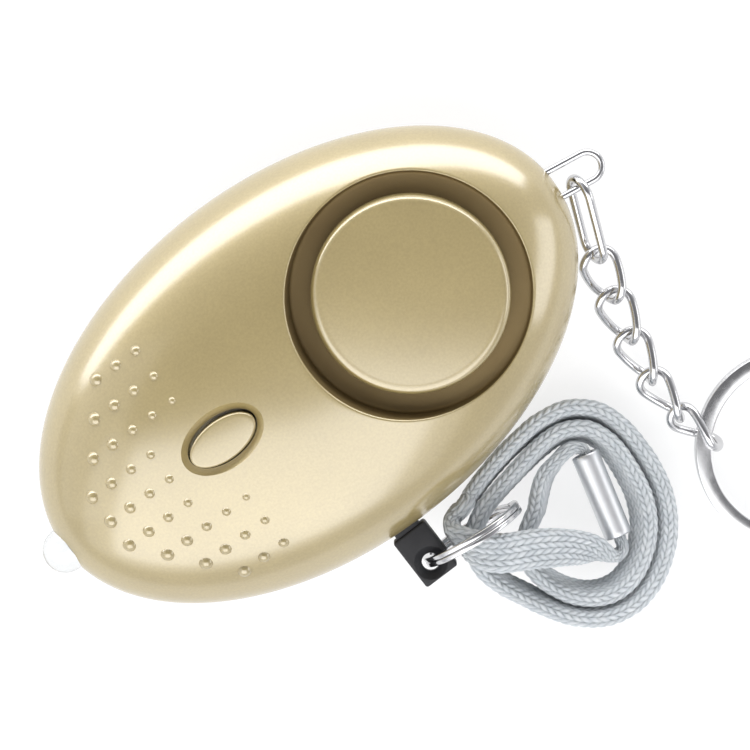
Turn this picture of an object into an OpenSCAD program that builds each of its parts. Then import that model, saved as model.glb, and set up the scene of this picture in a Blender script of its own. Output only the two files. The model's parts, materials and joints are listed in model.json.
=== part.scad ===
// Personal safety alarm on a key chain, lying on its back with the speaker face up.
// X runs along the case towards the chain end, Z out of the speaker face,
// and z = 0 is the flat rest face of the rear shell.

/* [Case] */
// Length of the oval case
case_len = 66; // [60:0.5:76]
// Width of the oval case
case_wid = 41; // [38:0.5:48]
// Height of the front dome over the seam
front_h = 10.2; // [9.8:0.1:12]
// Depth of the rear dome under the seam before it is cut flat
rear_h = 10.3; // [10:0.1:12]
// Height of the seam over the rest face
seam_z = 9.6; // [9.4:0.1:9.9]
// Shell wall
wall = 1.6; // [1.2:0.1:2]
// Rear wall at the rest face
floor_t = 1; // [0.8:0.1:1.4]
// Gap between the two shells at the seam
seam_gap = 0.12; // [0.06:0.02:0.3]
// Fullness of the dome section
dome_pow = 2.5; // [2.2:0.1:3]

/* [Speaker] */
// Speaker centre along the case
speaker_x = 13.8; // [12:0.2:15]
// Outer diameter of the sound groove at its floor
groove_d = 25.8; // [24:0.2:27]
// Widening of the groove wall from floor to mouth
groove_draft = 0.4; // [0:0.1:0.8]
// Height of the groove floor over the seam
groove_z = 5.2; // [4.8:0.1:5.6]
// Wall of the speaker cup
cup_t = 1.2; // [0.8:0.1:1.6]
// Diameter of the cap that covers the speaker
cap_d = 21.2; // [19:0.2:22]
// Height of the cap's top over the seam
cap_z = 8.9; // [8:0.1:9.4]
// Thickness of the cap's skin
cap_t = 1.4; // [1:0.1:2]
// Slit under the cap that lets the sound out
cap_slit = 0.6; // [0.3:0.1:1]
// Diameter of the cap's stem
cap_stem_d = 4; // [3:0.2:5]
// Sound holes in the groove floor under the cap
port_count = 8; // [6:1:12]
// Diameter of a sound hole
port_d = 1.8; // [1:0.1:2.4]

/* [Button] */
// Button centre along the case
button_x = -11.2; // [-12.5:0.1:-10]
// Length of the oval button cap
button_len = 8.1; // [7:0.1:9]
// Width of the oval button cap
button_wid = 4.5; // [4:0.1:5.4]
// Running gap between the button and its hole
button_gap = 0.2; // [0.15:0.05:0.4]
// Width of the bevel round the button hole
button_bevel = 0.75; // [0.4:0.05:1]
// Button top over the seam
button_z = 10.25; // [10.1:0.05:10.6]
// Travel of the button
button_travel = 0.4; // [0.2:0.05:0.5]

/* [Grip] */
// Pitch of the grip dots along the case
dot_pitch_x = 2.65; // [2.4:0.05:2.9]
// Pitch of the rows of grip dots
dot_pitch_y = 3.2; // [3:0.05:3.4]
// Radius of the outermost dots
dot_r = 0.8; // [0.5:0.05:0.9]
// Shrinkage of each further dot towards the button
dot_step = 0.09; // [0.05:0.01:0.12]

/* [Light] */
// Diameter of the light
led_d = 5; // [4.6:0.1:5.4]
// Reach of the light's tip past the case end
led_out = 2.5; // [2:0.1:3]
// Play between the light and the case
led_gap = 0.15; // [0.1:0.05:0.3]

/* [Pull pin] */
// Pin centre along the case
pin_x = -2.3; // [-3:0.1:-1.9]
// Width of the pin's tab
tab_w = 4.2; // [3.8:0.1:4.4]
// Length of the pin's tab
tab_len = 6.1; // [5.5:0.1:6.6]
// Thickness of the pin's tab
tab_t = 2.6; // [2.2:0.1:3]
// Diameter of the eye in the tab
eye_d = 2.2; // [2.1:0.1:2.6]
// Width of the blade inside the case
blade_w = 3; // [2.4:0.1:3.4]
// Thickness of the blade
blade_t = 2; // [1.6:0.1:2.4]
// Length of the blade
blade_len = 8.4; // [7:0.1:9]
// Play between the blade and its slot
blade_gap = 0.3; // [0.2:0.05:0.5]

/* [Rings and strap] */
// Outer diameter of the small split ring
ring_d = 12; // [11.6:0.1:12.4]
// Radial width of the small ring's wire
ring_w = 0.9; // [0.7:0.05:1]
// Height of one turn of the small ring
ring_t = 0.6; // [0.5:0.05:0.65]
// Dip of the small ring from level in degrees
ring_dip = 17; // [14:1:18]
// Turn of the small ring from the case's length in degrees
ring_turn = -6; // [-7:1:-5]
// Width of the flat strap
strap_w = 4.4; // [4:0.1:4.6]
// Thickness of the flat strap
strap_t = 1.5; // [1.2:0.05:1.55]
// Step from one turn of the wound strap to the next
coil_pitch = 2.25; // [2.2:0.05:2.35]
// Outer diameter of the strap's sleeve
sleeve_d = 3.1; // [2.8:0.1:3.4]
// Wall of the sleeve
sleeve_t = 0.35; // [0.2:0.05:0.5]

/* [Bail and chain] */
// Wire of the bail
bail_wire = 0.75; // [0.6:0.05:0.85]
// Outer width of the bail
bail_w = 3.9; // [3.7:0.1:4.2]
// Reach of the bail past the case end
bail_out = 5.8; // [5.4:0.1:6.4]
// Lean of the bail from the case axis in degrees
bail_lean = -9; // [-10:1:-7]
// Wire of the chain links
link_wire = 0.95; // [0.8:0.05:1]
// Outer length of a chain link
link_len = 7.25; // [7.1:0.05:7.5]
// Outer width of a chain link
link_wid = 4.7; // [4.5:0.1:5]
// Outer length of the first link
hook_len = 10.9; // [10.5:0.1:11.5]
// Slack where two links meet
link_gap = 0.2; // [0.15:0.05:0.3]
// Outer diameter of the key ring
key_d = 22; // [21:0.2:22.4]
// Radial width of the key ring's wire
key_w = 1.7; // [1.4:0.1:1.8]
// Height of one turn of the key ring
key_t = 0.85; // [0.75:0.05:0.95]

/* [Inside] */
// Diameter of a button cell
cell_d = 11.6; // [11:0.1:11.6]
// Height of a button cell
cell_h = 5.4; // [4.8:0.1:5.4]
// Number of cells in the stack
cell_count = 3; // [2:1:3]
// Stack centre along the case
cell_x = -9; // [-9.4:0.1:-8.6]
// Clearance of the cells over the rear floor
cell_lift = 1.1; // [1:0.1:1.4]
// Circuit board thickness
board_t = 1; // [0.8:0.1:1.2]
// Clearance between fixed inner pieces
fit = 0.15; // [0.1:0.05:0.2]
// Diameter of the brass sounder plate
piezo_d = 20; // [18:0.5:20.5]
// Thickness of the brass sounder plate
piezo_t = 0.25; // [0.2:0.05:0.3]
// Wall of the sound chamber
chamber_t = 1.2; // [0.8:0.1:1.4]
// Depth of the sound chamber
chamber_h = 3; // [2.6:0.1:3.4]
// Shank diameter of the case screws
screw_d = 2; // [1.6:0.1:2.2]
// Head diameter of the case screws
screw_head_d = 3.8; // [3.4:0.1:4]

/* [Hidden] */
$fn = 48;

gold = [0.73, 0.66, 0.47];
steel = [0.75, 0.76, 0.78];

ca = case_len / 2;
cb = case_wid / 2;
inner_a = ca - wall;
inner_b = cb - wall;
front_in = front_h - wall;
rear_in = seam_z - floor_t;
segs = 48;
bands = 8;

// Height of a dome of the case over the seam at a place in plan
function dome_at(a, b, h, x, y) =
    h * sqrt(max(0, 1 - pow(sqrt(x * x / a / a + y * y / b / b), dome_pow)));

// A closed half dome on the seam plane: rings of an oval that close to the top
module half_dome(a, b, h) {
    pts = concat(
        [for (i = [0:bands - 1]) let (t = 90 * (1 - i / bands), r = pow(sin(t), 2 / dome_pow))
            for (j = [0:segs - 1]) [a * r * cos(360 * j / segs), b * r * sin(360 * j / segs), h * cos(t)]],
        [[0, 0, h]]);
    last = (bands - 1) * segs;
    sides = [for (i = [0:bands - 2]) for (j = [0:segs - 1])
        let (p = i * segs + j, q = i * segs + (j + 1) % segs)
        each [[p, p + segs, q + segs], [p, q + segs, q]]];
    top = [for (j = [0:segs - 1]) [last + j, bands * segs, last + (j + 1) % segs]];
    polyhedron(pts, concat([[for (j = [0:segs - 1]) j]], sides, top));
}

module front_outer() {
    translate([0, 0, seam_z + seam_gap / 2]) half_dome(ca, cb, front_h);
}

module rear_outer() {
    intersection() {
        translate([0, 0, seam_z - seam_gap / 2]) mirror([0, 0, 1]) half_dome(ca, cb, rear_h);
        translate([-ca - 1, -cb - 1, 0]) cube([case_len + 2, case_wid + 2, seam_z + 1]);
    }
}

module oval(len, wid) {
    polygon([for (i = [0:47]) [len / 2 * cos(i * 7.5), wid / 2 * sin(i * 7.5)]]);
}

// A cone of oval section that widens upwards
module oval_cone(len, wid, grow, h) {
    n = 40;
    pts = [for (k = [0, 1]) for (i = [0:n - 1])
        [(len / 2 + grow * k) * cos(i * 360 / n), (wid / 2 + grow * k) * sin(i * 360 / n), h * k]];
    polyhedron(pts, concat([[for (i = [0:n - 1]) i]], [[for (i = [n - 1:-1:0]) n + i]],
        [for (i = [0:n - 1]) let (j = (i + 1) % n) each [[i, i + n, j + n], [i, j + n, j]]]));
}

// Screw places: two by the speaker, two by the light
screw_at = [[8.5, 15.6], [8.5, -15.6], [-20, 10.5], [-20, -10.5]];
boss_d = screw_d + 2.4;
screw_seat = seam_z - 4;

// Button and hole
hole_len = button_len + 2 * button_gap;
hole_wid = button_wid + 2 * button_gap;
lip_out = 0.6;
skin_z = seam_z + dome_at(ca, cb, front_h, button_x, 0);
under_skin = seam_z + dome_at(inner_a, inner_b, front_in, button_x - hole_len / 2 - lip_out, 0);
lip_t = 0.5;
lip_top = under_skin - 0.3;

// Light along the -X end of the seam
led_tip_c = -ca - led_out + led_d / 2;
led_flange_t = 1;
led_body_x = led_tip_c + 4.6;

// Pin
tab_y = -cb - 0.3;
tab_end = tab_y - tab_len;
eye_x = pin_x - 0.1;
eye_y = tab_end + 1.95;
pin_z = seam_z;

// Small ring
ring_r = (ring_d - ring_w) / 2;
ring_at = [eye_x + ring_r * cos(ring_dip) * cos(ring_turn), eye_y + ring_r * cos(ring_dip) * sin(ring_turn),
    pin_z - ring_r * sin(ring_dip)];

// Bail
post_x = ca - 3.6;
post_d = 1.8;
bail_r = (bail_w - bail_wire) / 2;
bail_tip_c = ca + bail_out - post_x - bail_w / 2;
bail_slot_h = bail_wire + 0.5;
bail_slot_w = bail_w + 2 * 0.85;

// Grip dots: rows along the case, the row's outermost dot largest
dot_rows = [[0, 0, 3], [1, 0, 3], [2, 1, 5], [3, 2, 5], [4, 3, 5]];
dot_x0 = -26.2;

module grip_dots() {
    for (row = dot_rows)
        for (side = row[0] == 0 ? [1] : [-1, 1])
            for (j = [row[1]:row[2]]) {
                x = dot_x0 + dot_pitch_x * j;
                y = side * row[0] * dot_pitch_y;
                r = dot_r - dot_step * (j - row[1]);
                translate([x, y, seam_z + seam_gap / 2 + dome_at(ca, cb, front_h, x, y) - 0.45 * r])
                    sphere(r, $fn = 20);
            }
}

module seam_cuts() {
    translate([pin_x - blade_w / 2 - blade_gap, -cb - 2, pin_z - blade_t / 2 - blade_gap])
        cube([blade_w + 2 * blade_gap, 8, blade_t + 2 * blade_gap]);
    translate([-ca - 4, 0, seam_z]) rotate([0, 90, 0])
        cylinder(d = led_d + 2 * led_gap, h = 8);
    translate([post_x + 1, -bail_slot_w / 2, seam_z - bail_slot_h / 2])
        cube([8, bail_slot_w, bail_slot_h]);
}

module front_shell() {
    color(gold) difference() {
        union() {
            difference() {
                front_outer();
                translate([0, 0, seam_z - 0.01 + seam_gap / 2]) half_dome(inner_a, inner_b, front_in);
            }
            grip_dots();
            intersection() {
                front_outer();
                union() {
                    translate([speaker_x, 0, seam_z + groove_z - cup_t])
                        cylinder(d = groove_d + 2 * groove_draft + 2 * cup_t, h = 20);
                    for (p = screw_at) translate([p[0], p[1], seam_z + seam_gap / 2])
                        cylinder(d = boss_d, h = 20);
                    translate([post_x, 0, seam_z + bail_slot_h / 2 + 0.2]) cylinder(d = post_d + 1, h = 20);
                }
            }
        }
        translate([speaker_x, 0, seam_z + groove_z])
            cylinder(d1 = groove_d, d2 = groove_d + 2 * groove_draft * 1.6, h = 8);
        translate([speaker_x, 0, seam_z]) cylinder(d = cap_stem_d + 2 * fit, h = 10);
        for (i = [0:port_count - 1]) translate([speaker_x, 0, seam_z])
            rotate(360 * (i + 0.5) / port_count) translate([cap_d / 2 - 3.2, 0, 0]) cylinder(d = port_d, h = 10);
        for (p = screw_at) translate([p[0], p[1], seam_z - 1]) cylinder(d = screw_d + 0.04, h = 4.6);
        translate([button_x, 0, seam_z + 4]) linear_extrude(10) oval(hole_len, hole_wid);
        translate([button_x, 0, skin_z - 0.75]) oval_cone(hole_len, hole_wid, button_bevel * 1.6, 1.2);
        seam_cuts();
    }
}

module rear_shell() {
    color(gold) difference() {
        union() {
            difference() {
                rear_outer();
                translate([0, 0, seam_z + 0.01 - seam_gap / 2]) mirror([0, 0, 1])
                    half_dome(inner_a, inner_b, rear_in - seam_gap / 2);
            }
            intersection() {
                rear_outer();
                union() {
                    for (p = screw_at) translate([p[0], p[1], 0]) cylinder(d = boss_d + 1.4, h = 20);
                    for (i = [0:2]) translate([speaker_x, 0, 0]) rotate(120 * i)
                        translate([piezo_d / 2 - 2.5, 0, 0]) cylinder(d = 2.4, h = 20);
                    translate([post_x, 0, 0]) cylinder(d = post_d, h = 20);
                }
            }
            translate([post_x, 0, seam_z - 1]) cylinder(d = post_d, h = 1 + bail_slot_h / 2);
        }
        for (p = screw_at) {
            translate([p[0], p[1], -1]) cylinder(d = screw_d + 0.4, h = 20);
            translate([p[0], p[1], -1]) cylinder(d = screw_head_d + 0.4, h = screw_seat + 1);
        }
        difference() {
            seam_cuts();
            translate([post_x, 0, 0]) cylinder(d = post_d, h = 20);
        }
    }
}

// The cap over the speaker: a hollow round lid with a rolled edge, on a stem and three feet
module speaker_cap() {
    r = cap_d / 2;
    h = cap_z - groove_z;
    color(gold) translate([speaker_x, 0, seam_z + groove_z]) {
        rotate_extrude($fn = 96) polygon([[0, h - cap_t], [r - cap_t - 0.6, h - cap_t], [r - cap_t, cap_slit],
            [r + 0.1, cap_slit], [r - 0.1, h - 0.7], [r - 0.25, h - 0.3], [r - 0.6, h - 0.08],
            [r - 1.1, h], [r * 0.5, h + 0.2], [0, h + 0.25]]);
        translate([0, 0, -cup_t]) cylinder(d = cap_stem_d, h = h + cup_t - 0.1);
        for (i = [0:2]) rotate(120 * i + 60) translate([r - cap_t / 2, 0, 0])
            cylinder(d = 0.9, h = cap_slit + 0.3);
    }
}

module light_button() {
    color([0.85, 0.79, 0.64]) translate([button_x, 0, 0]) union() {
        translate([0, 0, lip_top - lip_t]) linear_extrude(lip_t)
            oval(hole_len + 2 * lip_out, hole_wid + 2 * lip_out);
        translate([0, 0, lip_top - 0.1]) linear_extrude(seam_z + button_z - 0.3 - lip_top + 0.1)
            oval(button_len, button_wid);
        translate([0, 0, seam_z + button_z - 0.31]) linear_extrude(0.31)
            oval(button_len - 0.6, button_wid - 0.6);
    }
}

module led() {
    color([0.9, 0.93, 0.95, 0.5]) union() {
        translate([led_tip_c, 0, seam_z]) rotate([0, 90, 0]) cylinder(d = led_d, h = led_body_x - led_tip_c);
        translate([led_tip_c, 0, seam_z]) sphere(d = led_d);
        translate([led_body_x - led_flange_t, 0, seam_z]) rotate([0, 90, 0])
            cylinder(d = led_d + 0.8, h = led_flange_t);
    }
}

// Places of the board and what it carries
cell_z = floor_t + cell_lift + cell_d / 2;
board_z = cell_z + cell_d / 2 + 0.2;
board_top = board_z + board_t;
board_right = speaker_x - groove_d / 2 - groove_draft - cup_t - 0.6;
stack_y = cell_h * cell_count / 2;
lead_x = -23;
lead_y = 1.27;
lead_d = 0.5;

module led_leads() {
    color(steel) for (s = [-1, 1]) {
        translate([led_body_x, s * lead_y, seam_z]) rotate([0, 90, 0])
            cylinder(d = lead_d, h = lead_x - led_body_x, $fn = 16);
        translate([lead_x, s * lead_y, seam_z]) sphere(d = lead_d, $fn = 16);
        translate([lead_x, s * lead_y, seam_z]) cylinder(d = lead_d, h = board_top + 0.4 - seam_z, $fn = 16);
    }
}

// The pin: a tab with a countersunk eye, and a blade that holds the switch open
module pull_pin() {
    color([0.12, 0.12, 0.13]) difference() {
        union() {
            translate([pin_x - tab_w / 2, tab_end, pin_z - tab_t / 2]) cube([tab_w, tab_len, tab_t]);
            translate([pin_x - blade_w / 2, tab_y - 0.1, pin_z - blade_t / 2])
                cube([blade_w, blade_len + 0.1, blade_t]);
        }
        translate([eye_x, eye_y, pin_z - 5]) cylinder(d = eye_d, h = 10);
        for (s = [0, 1]) mirror([0, 0, s]) translate([eye_x, eye_y, s == 0 ? pin_z + 0.45 : -pin_z + 0.45])
            cylinder(d1 = eye_d, d2 = eye_d + 2 * (tab_t / 2 - 0.45 + 0.1), h = tab_t / 2 - 0.45 + 0.1);
    }
}

// A split ring: two flat turns that meet in a fine groove
module split_ring(d, w, t) {
    r = d / 2;
    rotate_extrude($fn = 96) polygon([[r - w, -t + 0.1], [r - w + 0.1, -t], [r - 0.1, -t], [r, -t + 0.1],
        [r, -0.08], [r - 0.12, 0], [r, 0.08], [r, t - 0.1], [r - 0.1, t], [r - w + 0.1, t], [r - w, t - 0.1],
        [r - w, 0.08], [r - w + 0.12, 0], [r - w, -0.08]]);
}

module pin_ring() {
    color(steel) translate(ring_at) rotate([90, 0, ring_turn]) split_ring(ring_d, ring_w, ring_t);
}

// The wound strap. It leaves the top of the sleeve, winds outwards for a little over two
// turns, bends back beside the pin, dips through the small ring, crosses over the turns
// and ends in the foot of the sleeve. Each free point holds x, y, z and the roll of the strap.
coil_c = [12.3, -31.9];
coil_rx = 10.6;
coil_ry = 11;
coil_from = 80;
coil_to = 850;
coil_z = 2;
coil_tilt = 0.26;
coil_low_x = 23.5;
// Swells of the wound outline, each with its direction, breadth and height. The outer turns swell
// towards the small ring, and the first turn is drawn in beside it.
swells = [[48, 30, 2], [262, 35, 0.8]];
ring_swell = [155, 30, 2.8];
inner_dent = [125, 35, -1.7];
// The turns lean outwards, most on the side away from the ring
lean_least = 10;
lean_more = 9;
lean_dir = -25;
sleeve_top = [17.7, -26.4, 4.4];
sleeve_foot = [15.2, -35.8, 4.7];
free_in = [[17.4, -27.4, 4.4, 0], [17.7, -26.4, 4.4, 0], [17.8, -25.8, 4.4, 0], [17.3, -25.2, 4.4, 0],
    [16.3, -24.9, 4.6, 0]];
free_out = [[3.7, -22.6, 7.6, 0], [2.1, -23, 7.9, 0], [1.5, -24.1, 8.8, 8], [1.8, -25.3, 10, 30],
    [2.6, -26.8, 11.1, 65], [4.4, -28.7, 11.5, 88], [7.4, -30.5, 11, 95], [10.2, -32.7, 9.6, 100],
    [12.1, -34.9, 7.2, 70], [13, -36.7, 5.3, 15], [13.9, -37.4, 4.7, 0], [14.7, -37.2, 4.7, 0],
    [15.05, -36.5, 4.7, 0], [15.3, -35.6, 4.65, 0]];

function coil_lift(x) = coil_z + coil_tilt * (coil_low_x - x);
function swell(a, s) = let (d = (a - s[0] + 540) % 360 - 180) s[2] * exp(-pow(d / s[1], 2));
function coil_out(a) = swell(a, swells[0]) + swell(a, swells[1]) + swell(a, a < 360 ? inner_dent : ring_swell);
function coil_lean(a) = -lean_least - lean_more * (1 + cos(a - lean_dir));
function coil_pt(a) =
    let (in = coil_pitch * (coil_to - a) / 360, b = coil_out(a),
        x = coil_c[0] + (coil_rx - in + b) * cos(a), y = coil_c[1] + (coil_ry - in + b) * sin(a))
    [x, y, coil_lift(x), coil_lean(a)];

// Catmull-Rom point between p1 and p2
function blend(p0, p1, p2, p3, t) =
    0.5 * (2 * p1 + (p2 - p0) * t + (2 * p0 - 5 * p1 + 4 * p2 - p3) * t * t
        + (3 * p1 - p0 - 3 * p2 + p3) * t * t * t);
function flow(pts, n) = [for (i = [0:len(pts) - 2]) for (k = [0:n - 1])
    blend(pts[max(0, i - 1)], pts[i], pts[i + 1], pts[min(len(pts) - 1, i + 2)], k / n)];

coil_pts = [for (i = [0:52]) coil_pt(coil_from + (coil_to - coil_from) * i / 52)];
route = concat(
    [for (p = flow(concat(free_in, [coil_pts[0], coil_pts[1]]), 2)) p],
    [for (i = [1:50]) coil_pts[i]],
    flow(concat([coil_pts[51], coil_pts[52]], free_out), 2),
    [free_out[len(free_out) - 1]]);

function unit(v) = v / norm(v);
function xyz(p) = [p[0], p[1], p[2]];
// The strap is gathered where it enters the sleeve
function gather(i, n) = let (e = min(i, n - 1 - i)) e < 4 ? 0.36 : e < 13 ? 0.36 + 0.064 * (e - 3) : 1;
function strap_ring(i) =
    let (n = len(route), p = xyz(route[i]),
        t = unit(xyz(route[min(n - 1, i + 1)]) - xyz(route[max(0, i - 1)])),
        side = unit([-t[1], t[0], 0]), up = cross(t, side), roll = route[i][3],
        w = (cos(roll) * up + sin(roll) * side) * strap_w / 2 * gather(i, n),
        k = cross(unit(w), t) * strap_t / 2 * (0.55 + 0.45 * gather(i, n)),
        c = max(0.3, 1 - strap_t * 0.4 / norm(w)))
    [p + w, p + c * w + k, p - c * w + k, p - w, p - c * w - k, p + c * w - k];

module sweep(rings) {
    n = len(rings);
    m = len(rings[0]);
    pts = [for (r = rings) each r];
    polyhedron(pts, concat([[for (j = [0:m - 1]) j]], [[for (j = [m - 1:-1:0]) (n - 1) * m + j]],
        [for (i = [0:n - 2]) for (j = [0:m - 1]) let (a = i * m + j, b = i * m + (j + 1) % m)
            each [[a, a + m, b + m], [a, b + m, b]]]));
}

// A closed loop of rings
module sweep_loop(rings) {
    n = len(rings);
    m = len(rings[0]);
    pts = [for (r = rings) each r];
    polyhedron(pts, [for (i = [0:n - 1]) for (j = [0:m - 1])
        let (a = i * m + j, b = i * m + (j + 1) % m, c = ((i + 1) % n) * m + j, d = ((i + 1) % n) * m + (j + 1) % m)
        each [[a, c, d], [a, d, b]]]);
}

module wrist_strap() {
    rings = [for (i = [0:len(route) - 1]) strap_ring(i)];
    n = len(rings);
    gaps = [for (i = [0:n - 1]) for (j = [i + 7:1:n - 1])
        if (norm(xyz(route[i]) - xyz(route[j])) < 6) for (a = rings[i]) for (b = rings[j]) norm(a - b)];
    lengths = [for (i = [1:n - 1]) norm(xyz(route[i]) - xyz(route[i - 1]))];
    echo(least_gap = min(gaps), strap_length = lengths * [for (l = lengths) 1], rings = n);
    color([0.66, 0.71, 0.74]) sweep(rings);
}

// The steel sleeve that holds both ends of the strap
module strap_ferrule() {
    v = sleeve_foot - sleeve_top;
    color(steel) translate(sleeve_top) rotate([0, acos(v[2] / norm(v)), atan2(v[1], v[0])]) difference() {
        cylinder(d = sleeve_d, h = norm(v));
        translate([0, 0, -1]) cylinder(d = sleeve_d - 2 * sleeve_t, h = norm(v) + 2);
    }
}

// The bail: a closed wire loop round a post inside the case
module bail() {
    color(steel) translate([post_x, 0, seam_z]) rotate(bail_lean) {
        for (s = [-1, 1]) translate([0, s * bail_r, 0]) rotate([0, 90, 0])
            cylinder(d = bail_wire, h = bail_tip_c, $fn = 24);
        rotate(90) rotate_extrude(angle = 180) translate([bail_r, 0]) circle(d = bail_wire, $fn = 24);
        translate([bail_tip_c, 0, 0]) rotate(-90) rotate_extrude(angle = 180)
            translate([bail_r, 0]) circle(d = bail_wire, $fn = 24);
    }
}

// Chain: each link lies from one meeting place to the next, with a heading and a roll
hook_dir = -112;
hook_drop = 22;
hook_roll = 65;
links_dir = [-106, -104, -100, -90, -75];
links_drop = [18, 14, 8, 3, -2];
links_roll = [20, 31, 43, 55, 67];
link_step = link_len - 2 * link_wire - link_gap;
bail_leg = [post_x + 5.6 * cos(bail_lean) + bail_r * sin(bail_lean),
    5.6 * sin(bail_lean) - bail_r * cos(bail_lean), seam_z];
function heading(a, d) = [cos(a) * cos(d), sin(a) * cos(d), -sin(d)];
hook_at = bail_leg;
function link_from(i) = i == 0
    ? hook_at + heading(hook_dir, hook_drop) * (hook_len - 2 * link_wire - bail_wire / 2 - 1.5 * link_gap)
    : link_from(i - 1) + heading(links_dir[i - 1], links_drop[i - 1]) * link_step;

// Oval centre line with straight sides
function oval_pt(l, w, u) =
    let (r = w / 2, s = l - w, arc = 180 * r * PI / 180, all = 2 * (s + arc), d = u * all)
    d < s ? [-s / 2 + d, -r, 0]
    : d < s + arc ? let (a = -90 + (d - s) / r * 180 / PI) [s / 2 + r * cos(a), r * sin(a), 0]
    : d < 2 * s + arc ? [s / 2 - (d - s - arc), r, 0]
    : let (a = 90 + (d - 2 * s - arc) / r * 180 / PI) [-s / 2 + r * cos(a), r * sin(a), 0];

function twisted(p, l, tw) = let (a = tw * p[0] / (l / 2)) [p[0], p[1] * cos(a), p[1] * sin(a)];

// A link of round wire whose two ends are turned against each other
module wire_link(l, w, d, tw, n) {
    c = [for (i = [0:n - 1]) twisted(oval_pt(l - d, w - d, (i + 0.5) / n), l - d, tw)];
    rings = [for (i = [0:n - 1])
        let (t = unit(c[(i + 1) % n] - c[(i + n - 1) % n]), a = tw * c[i][0] / ((l - d) / 2),
            b0 = [0, -sin(a), cos(a)], k = unit(cross(b0, t)), b = cross(t, k))
        [for (j = [0:7]) c[i] + d / 2 * (cos(45 * j) * k + sin(45 * j) * b)]];
    sweep_loop(rings);
}

module place_link(from, a, drop, roll, reach) {
    translate(from) rotate([0, drop, a]) rotate([roll, 0, 0]) translate([reach, 0, 0]) children();
}

module chain_connector() {
    color(steel) place_link(hook_at, hook_dir, hook_drop, hook_roll,
        hook_len / 2 - link_wire - bail_wire / 2 - link_gap)
        wire_link(hook_len, link_wid, link_wire, 0, 36);
}

module chain_link(i) {
    color(steel) place_link(link_from(i), links_dir[i], links_drop[i], links_roll[i], link_step / 2)
        wire_link(link_len, link_wid, link_wire, 45, 36);
}

module chain_link_1() { chain_link(0); }
module chain_link_2() { chain_link(1); }
module chain_link_3() { chain_link(2); }
module chain_link_4() { chain_link(3); }
module chain_link_5() { chain_link(4); }

// Key ring: it lies on the ground and the last link lifts its near side
key_dir = -46;
key_lean = 3.5;
bow_r = link_wid / 2 - link_wire;
key_seat = (link_len - link_wid) / 2 + sqrt(bow_r * bow_r - key_t * key_t) - 0.66 * key_w - link_gap;
key_from = link_from(4) + heading(links_dir[4], links_drop[4]) * (link_step / 2 + key_seat);

module key_ring() {
    color(steel) translate(key_from) rotate([0, key_lean, key_dir]) translate([(key_d - key_w) / 2, 0, 0])
        split_ring(key_d, key_w, key_t);
}

// Board outline: a tongue over the pin switch, narrow towards the light
module circuit_board() {
    color([0.1, 0.35, 0.2]) difference() {
        translate([0, 0, board_z]) linear_extrude(board_t) polygon([[-24.2, -3.6], [-16, -7.6], [-6, -8.6],
            [-5.2, -12.4], [board_right, -12.4], [board_right, 8.6], [-14, 8.6], [-24.2, 3.6]]);
        for (s = [-1, 1]) {
            translate([lead_x, s * lead_y, board_z - 1]) cylinder(d = lead_d + 0.2, h = board_t + 2, $fn = 16);
            translate([cell_x - 1.7, s * (stack_y + 0.65) - 0.5, board_z - 1]) cube([3.4, 1, board_t + 2]);
        }
    }
}

// The switch and its plunger share the room between the board and the button
tact_room = lip_top - lip_t - board_top;
tact_h = 0.61 * tact_room;
tact_well = 0.42 * tact_room;
plunger_base = 0.49 * tact_room;
plunger_gap = 0.05;

module tact_switch() {
    color([0.2, 0.2, 0.22]) translate([button_x, 0, board_top]) difference() {
        translate([-2.6, -2.6, 0]) cube([5.2, 5.2, tact_h]);
        translate([0, 0, tact_h - tact_well]) cylinder(d = 2.4, h = 2);
    }
}

module tact_plunger() {
    color([0.8, 0.7, 0.3]) translate([button_x, 0, board_top + plunger_base])
        cylinder(d = 2.2, h = tact_room - plunger_base - plunger_gap);
}

// Sounder: a brass plate with its ceramic, clamped in a chamber under the speaker cup
chamber_top = seam_z + groove_z - cup_t;
plate_z = chamber_top - piezo_t - 0.35;
chamber_d = piezo_d + 2 * fit + 2 * chamber_t;

module piezo_disc() {
    color([0.8, 0.65, 0.3]) translate([speaker_x, 0, plate_z]) cylinder(d = piezo_d, h = piezo_t);
}

module piezo_ceramic() {
    color([0.9, 0.88, 0.82]) translate([speaker_x, 0, plate_z - 0.25]) cylinder(d = piezo_d * 0.7, h = 0.25);
}

module sound_chamber() {
    color([0.15, 0.15, 0.16]) translate([speaker_x, 0, chamber_top - chamber_h]) difference() {
        cylinder(d = chamber_d, h = chamber_h);
        translate([0, 0, chamber_t]) cylinder(d = piezo_d - 1.6, h = chamber_h);
        translate([0, 0, plate_z - chamber_top + chamber_h]) cylinder(d = piezo_d + 2 * fit, h = chamber_h);
        for (s = [-1, 1]) translate([-piezo_d * 0.25, s * 3, -1]) cylinder(d = 1.2, h = 4);
    }
}

// Two leads from the board to the sounder
module wire(pts, d) {
    for (i = [0:len(pts) - 2]) {
        v = pts[i + 1] - pts[i];
        translate(pts[i]) rotate([0, acos(v[2] / norm(v)), atan2(v[1], v[0])])
            cylinder(d = d, h = norm(v), $fn = 16);
        if (i > 0) translate(pts[i]) sphere(d = 1.12 * d, $fn = 16);
    }
}

module piezo_leads() {
    hx = speaker_x - piezo_d * 0.25;
    low = chamber_top - chamber_h - 0.9;
    color([0.75, 0.15, 0.12]) for (s = [-1, 1])
        wire([[board_right - 1.2, s * 3, board_z - 0.02], [board_right - 1.2, s * 3, board_z - 1.6],
            [board_right + 2, s * 3, low], [hx, s * 3, low], [hx, s * 3, plate_z - 0.27]], 0.6);
}

module boost_coil() {
    color([0.3, 0.2, 0.12]) translate([-18.8, 5, board_z]) rotate([180, 0, 0]) union() {
        cylinder(d = 4.6, h = 1);
        cylinder(d = 3.6, h = 5);
        translate([0, 0, 4]) cylinder(d = 4.6, h = 1);
    }
}

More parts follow.
